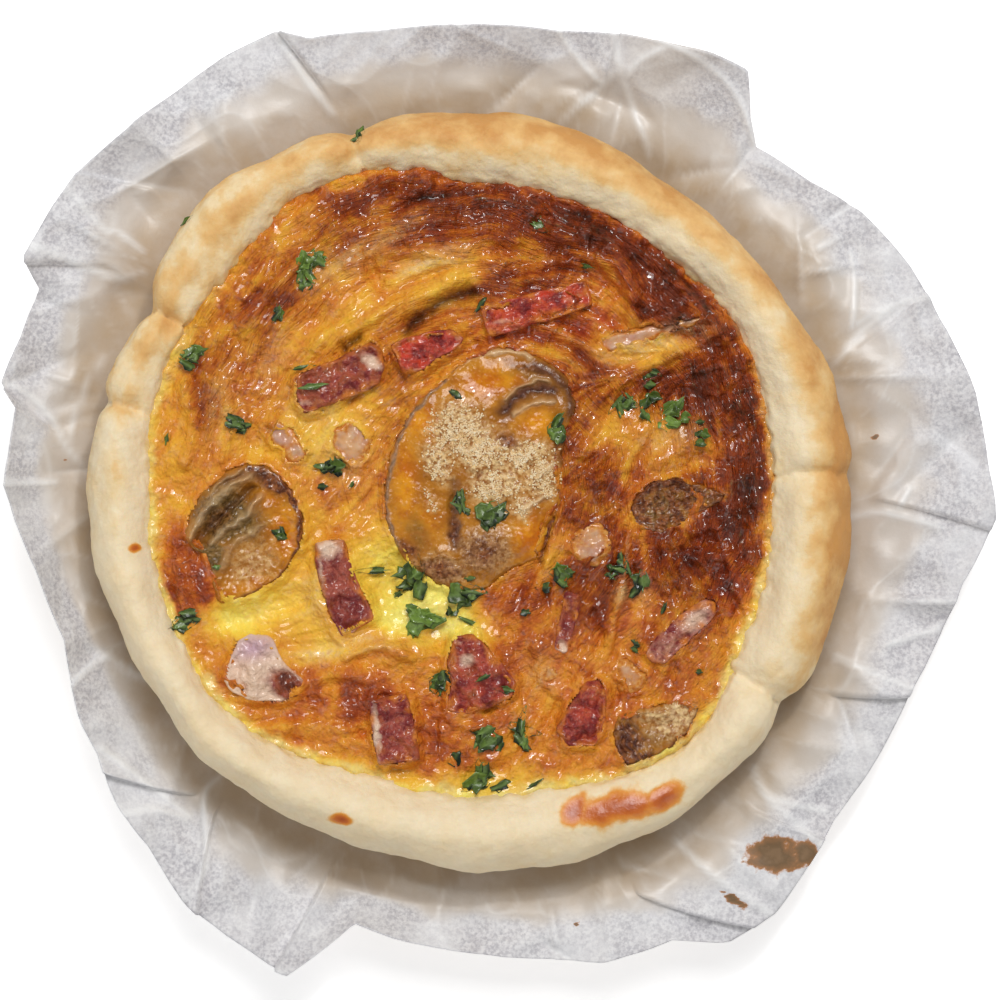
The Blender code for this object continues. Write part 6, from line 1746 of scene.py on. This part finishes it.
class QUICHE_OT_crumbs(bpy.types.Operator):
    """Grated hard cheese, scattered over the large mushroom slice"""
    bl_idname = "quiche.crumbs"
    bl_label = "Grated cheese"

    def tree(self, kind):
        group = bpy.data.node_groups.new("Scatter crumbs", 'GeometryNodeTree')
        face = group.interface
        face.new_socket(name="Geometry", in_out='INPUT', socket_type='NodeSocketGeometry')
        for name, default in (("Density", 6.0e6), ("Size", 0.0006)):
            face.new_socket(name=name, in_out='INPUT', socket_type='NodeSocketFloat').default_value = default
        face.new_socket(name="Seed", in_out='INPUT', socket_type='NodeSocketInt').default_value = 4
        face.new_socket(name="Geometry", in_out='OUTPUT', socket_type='NodeSocketGeometry')
        t = Tree(group)
        source = t.add("NodeGroupInput").outputs
        target = t.add("NodeGroupOutput")
        mask = t.add("GeometryNodeInputNamedAttribute", {"Name": "crumb"},
                     data_type='FLOAT').outputs["Attribute"]
        inputs = {"Mesh": source["Geometry"], "Density": t.times(source["Density"], mask),
                  "Seed": source["Seed"]}
        scatter = t.add("GeometryNodeDistributePointsOnFaces", inputs, distribute_method='RANDOM')
        grain = t.add("GeometryNodeMeshIcoSphere", {"Radius": 0.5, "Subdivisions": 1})
        inputs = {"Min": 0.3, "Max": 1.5, "Seed": source["Seed"]}
        size = t.add("FunctionNodeRandomValue", inputs, data_type='FLOAT')
        width = source["Size"]
        inputs = {"X": t.times(width, size.outputs["Value"]), "Y": t.times(width, 0.75),
                  "Z": t.times(width, 0.7)}
        flat = t.add("ShaderNodeCombineXYZ", inputs)
        inputs = {"Min": (0.0, 0.0, 0.0), "Max": (6.28, 6.28, 6.28), "Seed": source["Seed"]}
        spin = t.add("FunctionNodeRandomValue", inputs, data_type='FLOAT_VECTOR')
        inputs = {"Points": scatter.outputs["Points"], "Instance": grain.outputs["Mesh"],
                  "Rotation": spin.outputs["Value"], "Scale": flat.outputs["Vector"]}
        put = t.add("GeometryNodeInstanceOnPoints", inputs)
        real = t.add("GeometryNodeRealizeInstances", {"Geometry": put.outputs["Instances"]})
        finish = t.add("GeometryNodeSetMaterial", {"Geometry": real.outputs["Geometry"], "Material": kind})
        t.put(target.inputs["Geometry"], finish.outputs["Geometry"])
        return group

    def execute(self, context):
        s = context.scene.quiche_toppings
        host = context.scene.objects["mushroom_2__slice"]
        obj = bpy.data.objects.new("grated_cheese", host.data.copy())
        context.scene.collection.objects.link(obj)
        group = self.tree(crumb_material(s))
        mod = obj.modifiers.new("Scatter", 'NODES')
        mod.node_group = group
        for item in group.interface.items_tree:
            if item.in_out == 'INPUT' and item.name == "Density":
                mod[item.identifier] = s.crumb_density
            elif item.in_out == 'INPUT' and item.name == "Size":
                mod[item.identifier] = s.crumb_size
        context.view_layer.update()
        mesh = bpy.data.meshes.new_from_object(obj.evaluated_get(context.evaluated_depsgraph_get()))
        obj.modifiers.clear()
        old, obj.data = obj.data, mesh
        bpy.data.meshes.remove(old)
        if len(mesh.polygons) == 0:
            raise RuntimeError("no crumbs were scattered")
        declare(obj, "filling")
        return {'FINISHED'}


class QUICHE_OT_stage(bpy.types.Operator):
    """Camera, soft light and pale floor"""
    bl_idname = "quiche.stage"
    bl_label = "Stage"

    def execute(self, context):
        s = context.scene.quiche_stage
        scene = context.scene
        camera = bpy.data.cameras.new("Camera")
        camera.lens = s.lens
        camera.sensor_width = 36.0
        camera.clip_start = 0.01
        camera_obj = bpy.data.objects.new("Camera", camera)
        camera_obj.location = (0.0, 0.0, s.height)
        scene.collection.objects.link(camera_obj)
        scene.camera = camera_obj
        lights = (("Window", s.key, 0.42, (0.05, 0.43, 0.77)), ("Sparkle", 1.0, 0.05, (0.16, 0.4, 0.72)),
                  ("Left side", s.side, 0.5, (-0.62, -0.1, 0.42)),
                  ("Front side", s.side, 0.5, (0.3, -0.6, 0.5)))
        for name, power, size, place in lights:
            lamp = bpy.data.lights.new(name, 'AREA')
            lamp.energy = power
            lamp.size = size
            lamp_obj = bpy.data.objects.new(name, lamp)
            lamp_obj.location = place
            lamp_obj.rotation_euler = (Vector((0, 0, 0.02))
                                       - Vector(place)).to_track_quat('-Z', 'Y').to_euler()
            scene.collection.objects.link(lamp_obj)
        world = bpy.data.worlds.new("Soft light")
        world.use_nodes = True
        back = world.node_tree.nodes["Background"]
        back.inputs["Color"].default_value = (1.0, 1.0, 1.0, 1.0)
        back.inputs["Strength"].default_value = s.fill
        scene.world = world
        mesh = bpy.data.meshes.new("floor")
        mesh.from_pydata([(-3, -3, -0.0001), (3, -3, -0.0001), (3, 3, -0.0001), (-3, 3, -0.0001)], [],
                         [(0, 1, 2, 3)])
        mat, t, shader, _ = new_material("White floor")
        t.fill(shader, {"Base Color": (0.95, 0.95, 0.95, 1.0), "Roughness": 0.9,
                        "Emission Color": (1.0, 1.0, 1.0, 1.0), "Emission Strength": 0.42})
        mesh.materials.append(mat)
        floor = bpy.data.objects.new("floor", mesh)
        scene.collection.objects.link(floor)
        scene.view_settings.view_transform = 'Standard'
        return {'FINISHED'}


class QUICHE_PT_panel(bpy.types.Panel):
    """Lists the pieces of the quiche"""
    bl_label = "Mushroom quiche"
    bl_idname = "QUICHE_PT_panel"
    bl_space_type = 'VIEW_3D'
    bl_region_type = 'UI'
    bl_category = "Quiche"

    def draw(self, context):
        for operator in OPERATORS:
            self.layout.operator(operator.bl_idname)


SETTINGS = {"quiche_crust": QuicheCrustSettings, "quiche_paper": QuichePaperSettings,
            "quiche_filling": QuicheFillingSettings, "quiche_toppings": QuicheToppingSettings,
            "quiche_stage": QuicheStageSettings}
OPERATORS = [QUICHE_OT_paper, QUICHE_OT_crust, QUICHE_OT_filling, QUICHE_OT_ham, QUICHE_OT_mushrooms,
             QUICHE_OT_onions,
             QUICHE_OT_parsley, QUICHE_OT_crumbs, QUICHE_OT_stage]


def register():
    for cls in (*SETTINGS.values(), *OPERATORS, QUICHE_PT_panel):
        bpy.utils.register_class(cls)
    for key, cls in SETTINGS.items():
        setattr(bpy.types.Scene, key, bpy.props.PointerProperty(type=cls))


def unregister():
    for key in SETTINGS:
        delattr(bpy.types.Scene, key)
    for cls in reversed((*SETTINGS.values(), *OPERATORS, QUICHE_PT_panel)):
        bpy.utils.unregister_class(cls)


def main():
    register()
    build_groups()
    for name in ("paper", "crust", "filling", "ham", "mushrooms", "onions", "parsley", "crumbs", "stage"):
        getattr(bpy.ops.quiche, name)()


if __name__ == "__main__":
    main()
